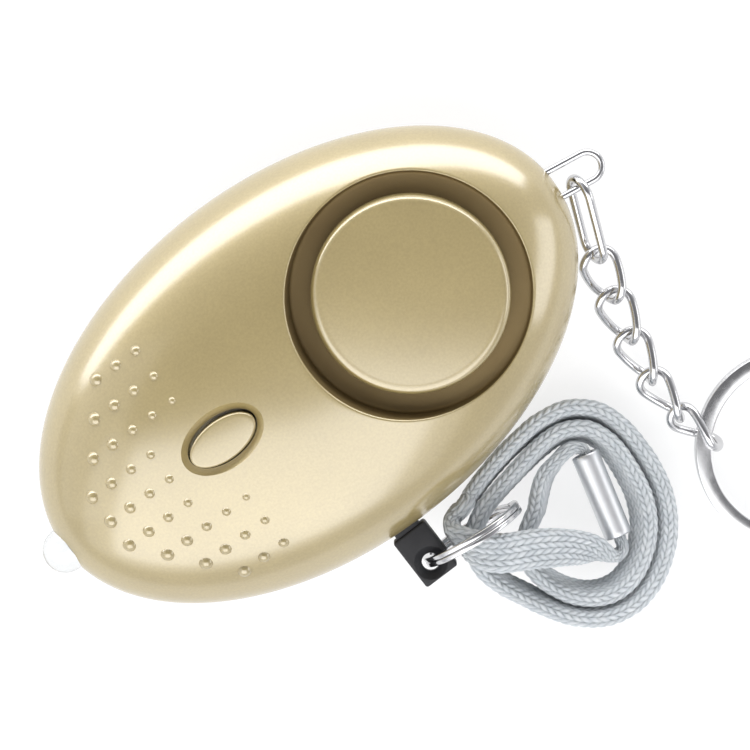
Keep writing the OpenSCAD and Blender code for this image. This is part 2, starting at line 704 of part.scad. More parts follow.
module driver_chip() {
    color([0.1, 0.1, 0.1]) translate([-6.6, 3, board_top]) cube([3.8, 4.8, 1.2]);
}

module transistor() {
    color([0.1, 0.1, 0.1]) translate([-5.6, -6, board_top]) cube([2.8, 1.6, 1.1]);
}

module resistors() {
    color([0.75, 0.7, 0.6]) for (i = [0:2])
        translate([-19.6 + 1.8 * i, -1 + 0.2 * i, board_top]) cube([1, 2, 0.6]);
}

module button_cells() {
    color(steel) translate([cell_x, -stack_y, cell_z]) for (i = [0:cell_count - 1])
        translate([0, i * cell_h + 0.03, 0]) rotate([-90, 0, 0]) union() {
            cylinder(d = cell_d, h = cell_h - 1);
            cylinder(d = cell_d - 2, h = cell_h - 0.06);
        }
}

// Cradle for the cells: side rails, end walls for the contacts and posts under the board
holder_w = cell_d + 2 * fit + 2;
end_y = stack_y + 1.15;

module battery_holder() {
    color([0.18, 0.18, 0.2]) difference() {
        union() {
            translate([cell_x - holder_w / 2, -end_y - 1, floor_t + cell_lift + 1.6])
                cube([holder_w, 2 * end_y + 2, 3]);
            for (s = [-1, 1]) translate([cell_x - 4, s > 0 ? end_y : -end_y - 1, floor_t + cell_lift + 1.6])
                cube([8, 1, board_z - floor_t - cell_lift - 1.6]);
        }
        translate([cell_x, 0, cell_z]) rotate([90, 0, 0])
            cylinder(d = cell_d + 2 * fit, h = 2 * end_y, center = true);
        translate([cell_x - 3.5, -end_y, 0]) cube([7, 2 * end_y, board_z]);
    }
}

// End contacts: a plate with a pressed dimple and a tail through the board
module contact(h) {
    union() {
        translate([-3, 0, -4]) cube([6, 0.3, 8]);
        translate([-1.5, 0, 0]) cube([3, 0.3, board_top + 0.5 - cell_z]);
        translate([0, 0.01, 0]) rotate([90, 0, 0]) cylinder(d1 = 4, d2 = 2.4, h = h);
    }
}

module contact_positive() {
    color([0.8, 0.8, 0.75]) translate([cell_x, stack_y + 0.5, cell_z]) contact(0.44);
}

module contact_negative() {
    color([0.8, 0.8, 0.75]) mirror([0, 1, 0]) translate([cell_x, stack_y + 0.5, cell_z]) contact(0.44);
}

// Pin switch: a block under the board with two leaves that the blade holds apart
blade_end = tab_y + blade_len;
leaf_gap = 0.12;

module pin_switch() {
    color([0.85, 0.85, 0.8]) difference() {
        translate([pin_x - 1.9, blade_end + 0.4, pin_z - 2.4]) cube([3.2, 1.4, board_z - pin_z + 2.4]);
        for (s = [0, 1]) translate([pin_x - 1.3, blade_end, pin_z - 0.15 + (s == 0 ? 1 : -1)
            * (blade_t / 2 + leaf_gap + 0.15)]) cube([2, 3, 0.3]);
    }
}

module pin_leaves() {
    color([0.8, 0.65, 0.35]) for (s = [0, 1]) translate([pin_x - 1.25, blade_end - 5, pin_z - 0.1
        + (s == 0 ? 1 : -1) * (blade_t / 2 + leaf_gap + 0.15)]) cube([1.9, 6.6, 0.2]);
}

// Case screws: pan heads with a cross slot
module case_screws() {
    color([0.4, 0.4, 0.42]) for (p = screw_at) translate([p[0], p[1], screw_seat]) difference() {
        union() {
            translate([0, 0, -1.3]) cylinder(d = screw_head_d, h = 1.3);
            cylinder(d = screw_d, h = seam_z - screw_seat + 3);
        }
        for (a = [0, 90]) rotate(a) translate([-1.2, -0.25, -1.4]) cube([2.4, 0.5, 0.8]);
    }
}

front_shell();
rear_shell();
speaker_cap();
light_button();
led();
led_leads();
pull_pin();
pin_ring();
wrist_strap();
strap_ferrule();
bail();
chain_connector();
chain_link_1();
chain_link_2();
chain_link_3();
chain_link_4();
chain_link_5();
key_ring();
circuit_board();
tact_switch();
tact_plunger();
piezo_disc();
piezo_ceramic();
sound_chamber();
piezo_leads();
boost_coil();
driver_chip();
transistor();
resistors();
button_cells();
battery_holder();
contact_positive();
contact_negative();
pin_switch();
pin_leaves();
case_screws();
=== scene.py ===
import json
import math
import bpy
import bmesh
import numpy as np
from mathutils import Matrix, Vector


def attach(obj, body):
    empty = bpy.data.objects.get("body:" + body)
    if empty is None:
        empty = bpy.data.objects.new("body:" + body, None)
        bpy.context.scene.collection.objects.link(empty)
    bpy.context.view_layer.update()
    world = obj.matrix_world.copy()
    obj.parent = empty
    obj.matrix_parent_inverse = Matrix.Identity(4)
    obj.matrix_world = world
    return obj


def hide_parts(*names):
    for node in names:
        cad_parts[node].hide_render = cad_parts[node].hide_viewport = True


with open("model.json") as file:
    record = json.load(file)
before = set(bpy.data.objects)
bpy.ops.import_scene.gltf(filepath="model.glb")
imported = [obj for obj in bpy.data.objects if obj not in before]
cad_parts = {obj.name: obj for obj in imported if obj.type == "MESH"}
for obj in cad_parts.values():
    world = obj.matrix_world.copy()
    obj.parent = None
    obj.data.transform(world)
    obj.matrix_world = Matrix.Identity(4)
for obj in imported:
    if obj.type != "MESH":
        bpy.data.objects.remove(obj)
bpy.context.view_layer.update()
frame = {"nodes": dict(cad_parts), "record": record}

# The studio: the alarm lies on a white table with its speaker face up, and the camera
# looks down on it from half a metre, turned so that the case leans across the picture.
# A long soft box lights the upper edge, two fill from below and two small ones the ends.
MM = 0.001
view_right = Vector((0.7946, -0.6071, 0))
view_up = Vector((0.6071, 0.7946, 0))
view_out = Vector((0, 0, 1))
camera_aim = Vector((5.1, -5.2, 9.6)) * MM
camera_tilt = math.radians(6.2)
camera_away = 0.45

scene = bpy.context.scene
scene.view_settings.view_transform = "Standard"
camera = bpy.data.objects.new("camera", bpy.data.cameras.new("camera"))
scene.collection.objects.link(camera)
scene.camera = camera
camera.data.lens = 200.7
camera.data.sensor_width = 36
camera.data.clip_start = 0.01
camera_back = (view_up * math.sin(camera_tilt) + view_out * math.cos(camera_tilt)).normalized()
camera_top = camera_back.cross(view_right).normalized()
camera.matrix_world = Matrix.Translation(camera_aim + camera_back * camera_away) @ Matrix(
    (view_right, camera_top, camera_back)).transposed().to_4x4()


def soft_box(name, right, up, out, away, width, height, power):
    lamp = bpy.data.lights.new(name, "AREA")
    lamp.shape = "RECTANGLE"
    lamp.size, lamp.size_y = width, height
    lamp.energy = power
    toward = (view_right * right + view_up * up + view_out * out).normalized()
    thing = bpy.data.objects.new(name, lamp)
    scene.collection.objects.link(thing)
    thing.location = Vector((0, 0, 10 * MM)) + toward * away
    top = toward.cross(view_right).normalized()
    thing.rotation_euler = Matrix((top.cross(toward), top, toward)).transposed().to_euler()


soft_box("upper_box", -0.24, 0.94, 0.25, 0.55, 1.9, 0.3, 7.2)
soft_box("lower_fill", -0.05, -0.62, 0.78, 0.7, 0.9, 0.7, 3.3)
soft_box("lower_wide", -0.1, -0.64, 0.76, 0.72, 1.5, 0.88, 2.6)
soft_box("left_fill", -0.85, -0.1, 0.5, 0.7, 0.5, 0.7, 0.4)
soft_box("right_edge", 0.95, 0.05, 0.35, 0.6, 0.2, 0.4, 0.5)

world = bpy.data.worlds.new("studio")
scene.world = world
world.use_nodes = True
sky = world.node_tree
sky_place = sky.nodes.new("ShaderNodeTexCoord")
sky_split = sky.nodes.new("ShaderNodeSeparateXYZ")
sky_ramp = sky.nodes.new("ShaderNodeValToRGB")
sky_ramp.color_ramp.elements[0].position = 0.0
sky_ramp.color_ramp.elements[0].color = (0.95, 0.96, 1.0, 1)
sky_ramp.color_ramp.elements[1].position = 1.0
sky_ramp.color_ramp.elements[1].color = (0.26, 0.26, 0.27, 1)
middle = sky_ramp.color_ramp.elements.new(0.55)
middle.color = (0.66, 0.66, 0.68, 1)
sky.links.new(sky_place.outputs["Generated"], sky_split.inputs[0])
sky.links.new(sky_split.outputs["Z"], sky_ramp.inputs[0])
sky.links.new(sky_ramp.outputs[0], sky.nodes["Background"].inputs["Color"])
sky.nodes["Background"].inputs["Strength"].default_value = 0.78

table_paint = bpy.data.materials.new("white_table")
table_paint.use_nodes = True
table_tree = table_paint.node_tree
table_tree.nodes.clear()
table_out = table_tree.nodes.new("ShaderNodeOutputMaterial")
table_seen = table_tree.nodes.new("ShaderNodeLightPath")
table_sum = table_tree.nodes.new("ShaderNodeMath")
table_sum.operation = "ADD"
table_through = table_tree.nodes.new("ShaderNodeMath")
table_through.operation = "ADD"
table_glow_share = table_tree.nodes.new("ShaderNodeMath")
table_glow_share.operation = "MULTIPLY"
table_glow_share.inputs[1].default_value = 0.66
table_glow_share.use_clamp = True
table_matt = table_tree.nodes.new("ShaderNodeBsdfDiffuse")
table_matt.inputs["Color"].default_value = (0.86, 0.87, 0.88, 1)
table_glow = table_tree.nodes.new("ShaderNodeEmission")
table_glow.inputs["Color"].default_value = (1, 1, 1, 1)
table_glow.inputs["Strength"].default_value = 1.15
table_mix = table_tree.nodes.new("ShaderNodeMixShader")
table_tree.links.new(table_seen.outputs["Is Camera Ray"], table_sum.inputs[0])
table_tree.links.new(table_seen.outputs["Is Glossy Ray"], table_sum.inputs[1])
table_tree.links.new(table_sum.outputs[0], table_through.inputs[0])
table_tree.links.new(table_seen.outputs["Is Transmission Ray"], table_through.inputs[1])
table_tree.links.new(table_through.outputs[0], table_glow_share.inputs[0])
table_tree.links.new(table_glow_share.outputs[0], table_mix.inputs[0])
table_tree.links.new(table_matt.outputs[0], table_mix.inputs[1])
table_tree.links.new(table_glow.outputs[0], table_mix.inputs[2])
table_under = table_tree.nodes.new("ShaderNodeNewGeometry")
table_clear = table_tree.nodes.new("ShaderNodeBsdfTransparent")
table_sides = table_tree.nodes.new("ShaderNodeMixShader")
table_tree.links.new(table_under.outputs["Backfacing"], table_sides.inputs[0])
table_tree.links.new(table_mix.outputs[0], table_sides.inputs[1])
table_tree.links.new(table_clear.outputs[0], table_sides.inputs[2])
table_tree.links.new(table_sides.outputs[0], table_out.inputs["Surface"])
table_mesh = bpy.data.meshes.new("table")
table_half, table_z = 2, -0.0001
table_mesh.from_pydata([(-table_half, -table_half, table_z), (table_half, -table_half, table_z),
                        (table_half, table_half, table_z), (-table_half, table_half, table_z)],
                       [], [(0, 1, 2, 3)])
table_mesh.materials.append(table_paint)
table = bpy.data.objects.new("table", table_mesh)
scene.collection.objects.link(table)

# The wrist strap: a flat polyester braid, plaited in slanting stitches that meet in
# chevrons. It is wound up in a little over two turns that stand on edge, dips through
# the small ring and has both ends gathered in a steel sleeve.
strap_w = 4.5
strap_t = 1.9
coil_c = (12.3, -31.9)
coil_rx, coil_ry = 10.6, 11
coil_from, coil_to = 80, 850
coil_pitch = 2.25
coil_z, coil_tilt, coil_low_x = 2, 0.26, 23.5
swells = ((48, 30, 2), (262, 35, 0.8))
ring_swell, inner_dent = (155, 30, 2.8), (125, 35, -1.7)
lean_least, lean_more, lean_dir = 10, 9, -25
free_in = [(17.4, -27.4, 4.4, 0), (17.7, -26.4, 4.4, 0), (17.8, -25.8, 4.4, 0), (17.3, -25.2, 4.4, 0),
           (16.3, -24.9, 4.6, 0)]
free_out = [(3.7, -22.6, 7.6, 0), (2.1, -23, 7.9, 0), (1.5, -24.1, 8.8, 8), (1.8, -25.3, 10, 30),
            (2.6, -26.8, 11.1, 65), (4.4, -28.7, 11.5, 88), (7.4, -30.5, 11, 95), (10.2, -32.7, 9.6, 100),
            (12.1, -34.9, 7.2, 70), (13, -36.7, 5.3, 15), (13.9, -37.4, 4.7, 0), (14.7, -37.2, 4.7, 0),
            (15.05, -36.5, 4.7, 0), (15.3, -35.6, 4.65, 0)]


def swell(angle, shape):
    off = (angle - shape[0] + 540) % 360 - 180
    return shape[2] * math.exp(-(off / shape[1]) ** 2)


def coil_point(angle):
    inward = coil_pitch * (coil_to - angle) / 360
    out = sum(swell(angle, s) for s in swells) + swell(angle, inner_dent if angle < 360 else ring_swell)
    x = coil_c[0] + (coil_rx - inward + out) * math.cos(math.radians(angle))
    y = coil_c[1] + (coil_ry - inward + out) * math.sin(math.radians(angle))
    lean = -lean_least - lean_more * (1 + math.cos(math.radians(angle - lean_dir)))
    return (x, y, coil_z + coil_tilt * (coil_low_x - x), lean)


def flow(points, steps):
    """Points on a smooth line through the given ones, without the last."""
    p = np.array(points, float)
    last = len(p) - 1
    line = []
    for i in range(last):
        a, b, c, d = p[max(0, i - 1)], p[i], p[i + 1], p[min(last, i + 2)]
        for k in range(steps):
            t = k / steps
            line.append(0.5 * (2 * b + (c - a) * t + (2 * a - 5 * b + 4 * c - d) * t * t
                               + (3 * b - a - 3 * c + d) * t ** 3))
    return line


coil = [coil_point(coil_from + (coil_to - coil_from) * i / 52) for i in range(53)]
strap_route = np.array(flow(free_in + coil[:2], 2) + [np.array(p, float) for p in coil[1:51]]
                       + flow(coil[51:53] + free_out, 2) + [np.array(free_out[-1], float)])


def unit(v):
    return v / np.linalg.norm(v, axis=-1, keepdims=True)


def along(line):
    """Distance along a line of points, from its first."""
    return np.concatenate([[0], np.cumsum(np.linalg.norm(np.diff(line, axis=0), axis=1))])


def skin(name, rows, wrap=False):
    """A mesh object from rows of points in millimetres; each row is a closed ring."""
    rows = np.asarray(rows, float)
    n, m = rows.shape[:2]
    i, j = np.meshgrid(np.arange(n if wrap else n - 1), np.arange(m), indexing="ij")
    i2, j2 = (i + 1) % n, (j + 1) % m
    quads = np.stack([i * m + j, i * m + j2, i2 * m + j2, i2 * m + j], -1).reshape(-1, 4)
    faces = quads.tolist()
    if not wrap:
        faces += [list(range(m))[::-1], [(n - 1) * m + k for k in range(m)]]
    mesh = bpy.data.meshes.new(name)
    mesh.from_pydata((rows.reshape(-1, 3) * MM).tolist(), [], faces)
    made = bmesh.new()
    made.from_mesh(mesh)
    bmesh.ops.recalc_face_normals(made, faces=made.faces)
    made.to_mesh(mesh)
    made.free()
    mesh.polygons.foreach_set("use_smooth", [True] * len(mesh.polygons))
    thing = bpy.data.objects.new(name, mesh)
    scene.collection.objects.link(thing)
    return thing


class Finish:
    """A material with one main shader, and short ways to wire its nodes."""

    def __init__(self, name):
        self.material = bpy.data.materials.new(name)
        self.material.use_nodes = True
        self.tree = self.material.node_tree
        self.shader = self.tree.nodes["Principled BSDF"]

    def set(self, **values):
        for key, value in values.items():
            self.shader.inputs[key.replace("_", " ")].default_value = value
        return self

    def node(self, kind, **values):
        made = self.tree.nodes.new(kind)
        for key, value in values.items():
            if hasattr(made, key):
                setattr(made, key, value)
            else:
                made.inputs[key.replace("_", " ")].default_value = value
        return made

    def link(self, a, b):
        self.tree.links.new(a, b)

    def place(self):
        return self.node("ShaderNodeTexCoord").outputs["Object"]

    def noise(self, scale, detail=3, source=None):
        made = self.node("ShaderNodeTexNoise", Scale=scale, Detail=detail)
        self.link(source or self.place(), made.inputs["Vector"])
        return made.outputs["Fac"]

    def ramp(self, source, *stops):
        made = self.node("ShaderNodeValToRGB")
        bar = made.color_ramp.elements
        while len(bar) < len(stops):
            bar.new(0.5)
        for stop, (at, colour) in zip(bar, stops):
            stop.position = at
            stop.color = colour if len(colour) == 4 else (*colour, 1)
        self.link(source, made.inputs[0])
        return made.outputs[0]

    def span(self, source, low, high):
        made = self.node("ShaderNodeMapRange")
        made.inputs["To Min"].default_value = low
        made.inputs["To Max"].default_value = high
        self.link(source, made.inputs["Value"])
        return made.outputs["Result"]

    def times(self, a, b):
        made = self.node("ShaderNodeMix", data_type="RGBA", blend_type="MULTIPLY")
        made.inputs["Factor"].default_value = 1
        self.link(a, made.inputs["A"])
        self.link(b, made.inputs["B"])
        return made.outputs["Result"]

    def bump(self, source, depth, strength=1.0):
        made = self.node("ShaderNodeBump", Strength=strength, Distance=depth)
        self.link(source, made.inputs["Height"])
        self.link(made.outputs["Normal"], self.shader.inputs["Normal"])


stitch = 0.94
stitch_lean = 0.85
stitch_relief = 0.27
columns = 16
ring_step = 0.161
around = 96

dense = np.array(flow(strap_route, 10) + [strap_route[-1]])
dense_at = along(dense[:, :3])
strap_length = dense_at[-1]
rings = int(strap_length / ring_step)
spots = np.linspace(0, strap_length, rings)
centre = np.stack([np.interp(spots, dense_at, dense[:, k]) for k in range(3)], 1)
strap_roll = np.radians(np.interp(spots, dense_at, dense[:, 3]))
ring_index = np.interp(spots, dense_at, np.arange(len(dense)) / 10)
from_end = np.minimum(ring_index, len(strap_route) - 1 - ring_index)
gather = np.interp(from_end, [0, 3, 13], [0.36, 0.36, 1])
tangent = unit(np.gradient(centre, axis=0))
soften = 15
kernel = np.hanning(soften) / np.hanning(soften).sum()
tangent = unit(np.stack([np.convolve(np.pad(tangent[:, k], soften // 2, "edge"), kernel, "valid")
                         for k in range(3)], 1))
across = unit(np.stack([-tangent[:, 1], tangent[:, 0], 0 * spots], 1))
upright = np.cross(tangent, across)
wide = np.cos(strap_roll)[:, None] * upright + np.sin(strap_roll)[:, None] * across
thick = np.cross(wide, tangent)

half_w = strap_w / 2 * gather - stitch_relief / 2
half_t = np.minimum(strap_t / 2 * (0.6 + 0.4 * gather) - stitch_relief / 2, 0.95 * half_w)
flat = half_w - half_t
girth = 4 * flat + 2 * math.pi * half_t
q = np.arange(around) / around
walk = q[None, :] * girth[:, None]
arc = (math.pi / 2 * half_t)[:, None]
run = (2 * flat)[:, None]
ht = half_t[:, None]
turn = np.select(
    [walk < arc, walk < arc + run, walk < 3 * arc + run, walk < 3 * arc + 2 * run],
    [walk / ht, math.pi / 2 + 0 * walk, math.pi / 2 + (walk - arc - run) / ht, 1.5 * math.pi + 0 * walk],
    1.5 * math.pi + (walk - 3 * arc - 2 * run) / ht)
slide = np.select(
    [walk < arc, walk < arc + run, walk < 3 * arc + run, walk < 3 * arc + 2 * run],
    [flat[:, None] + 0 * walk, flat[:, None] - (walk - arc), -flat[:, None] + 0 * walk,
     -flat[:, None] + (walk - 3 * arc - run)],
    flat[:, None] + 0 * walk)
column = np.floor(q * columns)
in_column = q * columns - column
lean_way = np.where(column % 2 == 0, 1, -1)
slack = np.random.default_rng(11)
slip_size, slip_rings = 0.09, 40
slip = slack.normal(0, slip_size, (rings // slip_rings + 2, columns))
slip = np.stack([np.interp(np.arange(rings) / slip_rings, np.arange(len(slip)), slip[:, k])
                 for k in range(columns)], 1)
phase = (spots[:, None] / stitch + slip[:, column.astype(int)]
         + (lean_way * (in_column - 0.5) * stitch_lean + 0.5 * (column % 2))[None, :])
stitch_number = np.floor(phase).astype(int)
phase = phase - stitch_number
least_plump, column_sill = 0.82, 0.3
plump = slack.uniform(least_plump, 1.0, (columns, stitch_number.max() + 3))
plump = plump[column.astype(int)[None, :], stitch_number + 2]
column_arch = column_sill + (1 - column_sill) * np.clip(np.cos(math.pi * (in_column - 0.5)), 0, 1) ** 0.45
crest = plump * np.sin(math.pi * phase) ** 0.6 * column_arch[None, :]
lift = stitch_relief * (crest - 0.5)
out_w = np.cos(turn)
out_t = np.sin(turn)
strap_points = (centre[:, None, :] + (slide + (ht + lift) * out_w)[..., None] * wide[:, None, :]
                + ((ht + lift) * out_t)[..., None] * thick[:, None, :])
strap = skin("wrist_strap_braid", strap_points)
crest_mark = strap.data.attributes.new("crest", "FLOAT", "POINT")
crest_mark.data.foreach_set("value", crest.reshape(-1))
thread_mark = strap.data.attributes.new("thread", "FLOAT_VECTOR", "POINT")
thread_at = np.stack([np.broadcast_to(spots[:, None], crest.shape),
                      np.broadcast_to((q * columns)[None, :], crest.shape), phase], -1)
thread_mark.data.foreach_set("vector", thread_at.reshape(-1))

braid = Finish("grey_braid").set(Roughness=0.78, Sheen_Weight=0.25, Sheen_Roughness=0.5)
braid_crest = braid.node("ShaderNodeAttribute", attribute_name="crest").outputs["Fac"]
braid_thread = braid.node("ShaderNodeAttribute", attribute_name="thread").outputs["Vector"]
# The base colour follows the stitch height. It is darker in the hollows between the stitches and paler on
# their crests: painted shade and painted highlight over the braid's own grey.
braid_shade_and_highlight = braid.ramp(braid_crest, (0.0, (0.27, 0.30, 0.32)), (0.42, (0.69, 0.73, 0.755)),
                        (0.95, (0.875, 0.905, 0.925)))
braid_patch = braid.ramp(braid.noise(900, 4), (0.3, (0.86, 0.88, 0.9)), (0.7, (1, 1, 1)))
braid.link(braid.times(braid_shade_and_highlight, braid_patch), braid.shader.inputs["Base Color"])
filament = braid.node("ShaderNodeTexWave", Scale=6.0, Distortion=1.2, Detail=2, bands_direction="Z")
braid.link(braid_thread, filament.inputs["Vector"])
braid.bump(filament.outputs["Fac"], 0.03 * MM, 0.7)
strap.data.materials.append(braid.material)
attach(strap, "strap")
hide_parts("wrist_strap")

# The sleeve: a strip of bright steel rolled into a tube over both ends of the strap,
# with a butt seam along its back and its ends turned slightly inwards.
sleeve_top = np.array((17.7, -26.4, 4.4))
sleeve_foot = np.array((15.2, -35.8, 4.7))
sleeve_r, sleeve_wall = 1.55, 0.35
sleeve_axis = unit(sleeve_foot - sleeve_top)
sleeve_len = float(np.linalg.norm(sleeve_foot - sleeve_top))
sleeve_side = unit(np.cross(sleeve_axis, (0, 0, 1)))
sleeve_up = np.cross(sleeve_side, sleeve_axis)
sleeve_turn = np.radians(np.linspace(-86, 266, 90))
edge = 0.12
sleeve_rows = []
for a in sleeve_turn:
    ray = math.cos(a) * sleeve_side + math.sin(a) * sleeve_up
    profile = [(edge, sleeve_r - sleeve_wall), (0.03, sleeve_r - sleeve_wall + 0.04), (0, sleeve_r - 0.16),
               (0.04, sleeve_r - 0.06), (0.16, sleeve_r)]
    profile += [(t, sleeve_r) for t in np.linspace(0.6, sleeve_len - 0.6, 8)]
    profile += [(sleeve_len - t, r) for t, r in profile[4::-1]]
    sleeve_rows.append([sleeve_top + t * sleeve_axis + r * ray for t, r in profile])
sleeve = skin("strap_sleeve", sleeve_rows)
rolled_steel = Finish("rolled_steel").set(Metallic=1.0, Base_Color=(0.72, 0.73, 0.745, 1))
steel_drag = rolled_steel.node("ShaderNodeMapping")
steel_drag.inputs["Scale"].default_value = (6000, 700, 6000)
rolled_steel.link(rolled_steel.place(), steel_drag.inputs["Vector"])
steel_grain = rolled_steel.noise(1, 4, steel_drag.outputs["Vector"])
rolled_steel.link(rolled_steel.span(steel_grain, 0.37, 0.48), rolled_steel.shader.inputs["Roughness"])
rolled_steel.bump(steel_grain, 0.004 * MM, 0.5)
sleeve.data.materials.append(rolled_steel.material)
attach(sleeve, "strap")
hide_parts("strap_ferrule")

# The small ring: a split ring of two flat steel turns, threaded through the pin's eye
# and through the bight of the strap. One turn steps over to the other at the split.
eye_at = np.array((-2.4, -24.95, 9.6))
ring_d, ring_w, ring_t = 12.0, 0.9, 0.6
ring_dip = math.radians(17)
ring_r = (ring_d - ring_w) / 2
ring_turn = math.radians(-6)
ring_x = np.array((math.cos(ring_turn), math.sin(ring_turn), 0))
ring_z = np.array((0, 0, 1.0))
ring_at = eye_at + ring_r * (math.cos(ring_dip) * ring_x - math.sin(ring_dip) * ring_z)


def split_ring(name, middle, flat_a, flat_b, radius, width, height, split_at, steps=220):
    """Two turns of flat wire round a middle point; flat_a and flat_b span the ring's plane."""
    normal = np.cross(flat_a, flat_b)
    soft = 0.14
    corner = [(math.cos(a) * soft, math.sin(a) * soft) for a in np.linspace(0, math.pi / 2, 4)]
    section = []
    for sx, sy, flip in ((1, 1, 1), (-1, 1, -1), (-1, -1, 1), (1, -1, -1)):
        part = [(sx * (width / 2 - soft + x), sy * (height / 2 - 0.02 - soft + y)) for x, y in corner]
        section += part[::flip]
    rows = []
    for k in range(steps + 1):
        turn = 4 * math.pi * k / steps * 0.985
        step = np.interp(turn, [0, 1.82 * math.pi, 2.1 * math.pi, 4 * math.pi], [-0.5, -0.5, 0.5, 0.5])
        ray = math.cos(turn + split_at) * flat_a + math.sin(turn + split_at) * flat_b
        rows.append([middle + (radius + x) * ray + (step * height + y) * normal for x, y in section])
    return skin(name, rows)


pin_ring = split_ring("pin_ring_turns", ring_at, ring_x, ring_z, ring_r, ring_w, ring_t, math.radians(-20))
plated_wire = Finish("plated_wire").set(Metallic=1.0, Base_Color=(0.64, 0.64, 0.65, 1))
plated_wire.link(plated_wire.span(plated_wire.noise(1400, 5), 0.1, 0.24),
                 plated_wire.shader.inputs["Roughness"])
plated_wire.bump(plated_wire.noise(700, 2), 0.01 * MM, 0.4)
pin_ring.data.materials.append(plated_wire.material)
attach(pin_ring, "strap")
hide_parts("pin_ring")

# The pull pin: a small black moulding. Its tab has a countersunk eye for the ring, and
# its blade reaches into the case and holds the alarm's switch open until it is drawn.
pin_x, pin_z = -2.3, 9.6
tab_y, tab_end = -20.8, -26.9
tab_w, tab_t = 4.2, 2.6
blade_w, blade_t, blade_end = 3.0, 2.0, -12.4
eye_r = 0.98


def cut(thing, *others, operation="DIFFERENCE"):
    """Applies a boolean of closed meshes and removes the cutting pieces."""
    for other in others:
        tool = thing.modifiers.new("cut", "BOOLEAN")
        tool.operation = operation
        tool.solver = "EXACT"
        tool.object = other
    bpy.context.view_layer.update()
    made = bpy.data.meshes.new_from_object(thing.evaluated_get(bpy.context.evaluated_depsgraph_get()))
    thing.modifiers.clear()
    thing.data = made
    for other in others:
        bpy.data.objects.remove(other)
    return thing


def slab(name, low, high, soft):
    """A block between two corners in millimetres with rounded edges."""
    made = bmesh.new()
    bmesh.ops.create_cube(made, size=1)
    for v in made.verts:
        v.co = Vector([(low[k] + (v.co[k] + 0.5) * (high[k] - low[k])) * MM for k in range(3)])
    if soft:
        bmesh.ops.bevel(made, geom=list(made.edges), offset=soft * MM, segments=4, profile=0.5,
                        affect="EDGES")
    mesh = bpy.data.meshes.new(name)
    made.to_mesh(mesh)
    made.free()
    thing = bpy.data.objects.new(name, mesh)
    scene.collection.objects.link(thing)
    return thing


def lathe(name, profile, middle=(0, 0, 0), turns=64, axis="Z", wrap=False):
    """A turned piece: profile holds (radius, height) along the axis."""
    rows = []
    for r, h in profile:
        ring = []
        for k in range(turns):
            a = 2 * math.pi * k / turns
            x, y = r * math.cos(a), r * math.sin(a)
            ring.append((middle[0] + h, middle[1] + x, middle[2] + y) if axis == "X"
                        else (middle[0] + x, middle[1] + y, middle[2] + h))
        rows.append(ring)
    return skin(name, rows, wrap=wrap)


pull_pin = slab("pull_pin_tab", (pin_x - tab_w / 2, tab_end, pin_z - tab_t / 2),
                (pin_x + tab_w / 2, tab_y, pin_z + tab_t / 2), 0.3)
pin_blade = slab("pin_blade", (pin_x - blade_w / 2, tab_y - 0.5, pin_z - blade_t / 2),
                 (pin_x + blade_w / 2, blade_end, pin_z + blade_t / 2), 0.15)
cut(pull_pin, pin_blade, operation="UNION")
eye_flare = tab_t / 2 - 0.45
eye_tool = lathe("eye_tool", [(eye_r + eye_flare + 0.6, -tab_t / 2 - 0.6), (eye_r + eye_flare, -tab_t / 2),
                              (eye_r + 0.1, -0.55), (eye_r, -0.4), (eye_r, 0.4), (eye_r + 0.1, 0.55),
                              (eye_r + eye_flare, tab_t / 2), (eye_r + eye_flare + 0.6, tab_t / 2 + 0.6)],
                 eye_at, 48)
cut(pull_pin, eye_tool)
pull_pin.data.shade_smooth()
pull_pin.data.set_sharp_from_angle(angle=math.radians(32))
black_moulding = Finish("black_moulding").set(Specular_IOR_Level=0.45)
black_moulding.link(black_moulding.ramp(black_moulding.noise(500, 4), (0.3, (0.012, 0.012, 0.014)),
                                        (0.75, (0.024, 0.024, 0.027))),
                    black_moulding.shader.inputs["Base Color"])
black_moulding.link(black_moulding.span(black_moulding.noise(2500, 2), 0.42, 0.6),
                    black_moulding.shader.inputs["Roughness"])
black_moulding.bump(black_moulding.noise(9000, 2), 0.012 * MM, 0.5)
pull_pin.data.materials.append(black_moulding.material)
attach(pull_pin, "pin")
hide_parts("pull_pin")

# The front shell: an oval plastic moulding sprayed in satin champagne gold. A round groove
# is sunk round the speaker and a bevelled oval hole holds the light's button. The light,
# the bail and the pin leave through cut-outs at the seam.
case_a, case_b = 33.0, 20.5
front_h, rear_h = 10.2, 10.3
seam_z, seam_gap = 9.6, 0.12
wall, floor_t = 1.6, 1.0
fullness = 2.5
speaker_x = 13.8
groove_r, groove_floor = 12.9, 14.8
groove_draft = 0.08
cup_out, cup_under = 14.5, 13.6
stem_hole = 2.15
spokes = 400
front_z = seam_z + seam_gap / 2
spoke = 2 * math.pi * np.arange(spokes) / spokes
spoke_x, spoke_y = np.cos(spoke), np.sin(spoke)


def dome(x, y, a, b, h):
    return h * np.sqrt(np.clip(1 - ((x / a) ** 2 + (y / b) ** 2) ** (fullness / 2), 0, None))


def reach(a, b):
    """Distance from the speaker's centre to an oval, along each spoke."""
    k2 = (spoke_x / a) ** 2 + (spoke_y / b) ** 2
    k1 = 2 * speaker_x * spoke_x / a ** 2
    k0 = (speaker_x / a) ** 2 - 1
    return (-k1 + np.sqrt(k1 ** 2 - 4 * k2 * k0)) / (2 * k2)


def front_top(r):
    return front_z + dome(speaker_x + r * spoke_x, r * spoke_y, case_a, case_b, front_h)


def ringed(r, z):
    one = np.ones(spokes)
    return np.stack([speaker_x + r * spoke_x, r * spoke_y, z * one], 1)


def bend(a, b, c, steps):
    """Points of a soft corner from a to c with its corner at b; each is (radius, height)."""
    return [tuple((1 - t) ** 2 * a[k] + 2 * t * (1 - t) * b[k] + t * t * c[k] for k in (0, 1))
            for t in np.linspace(0, 1, steps)]


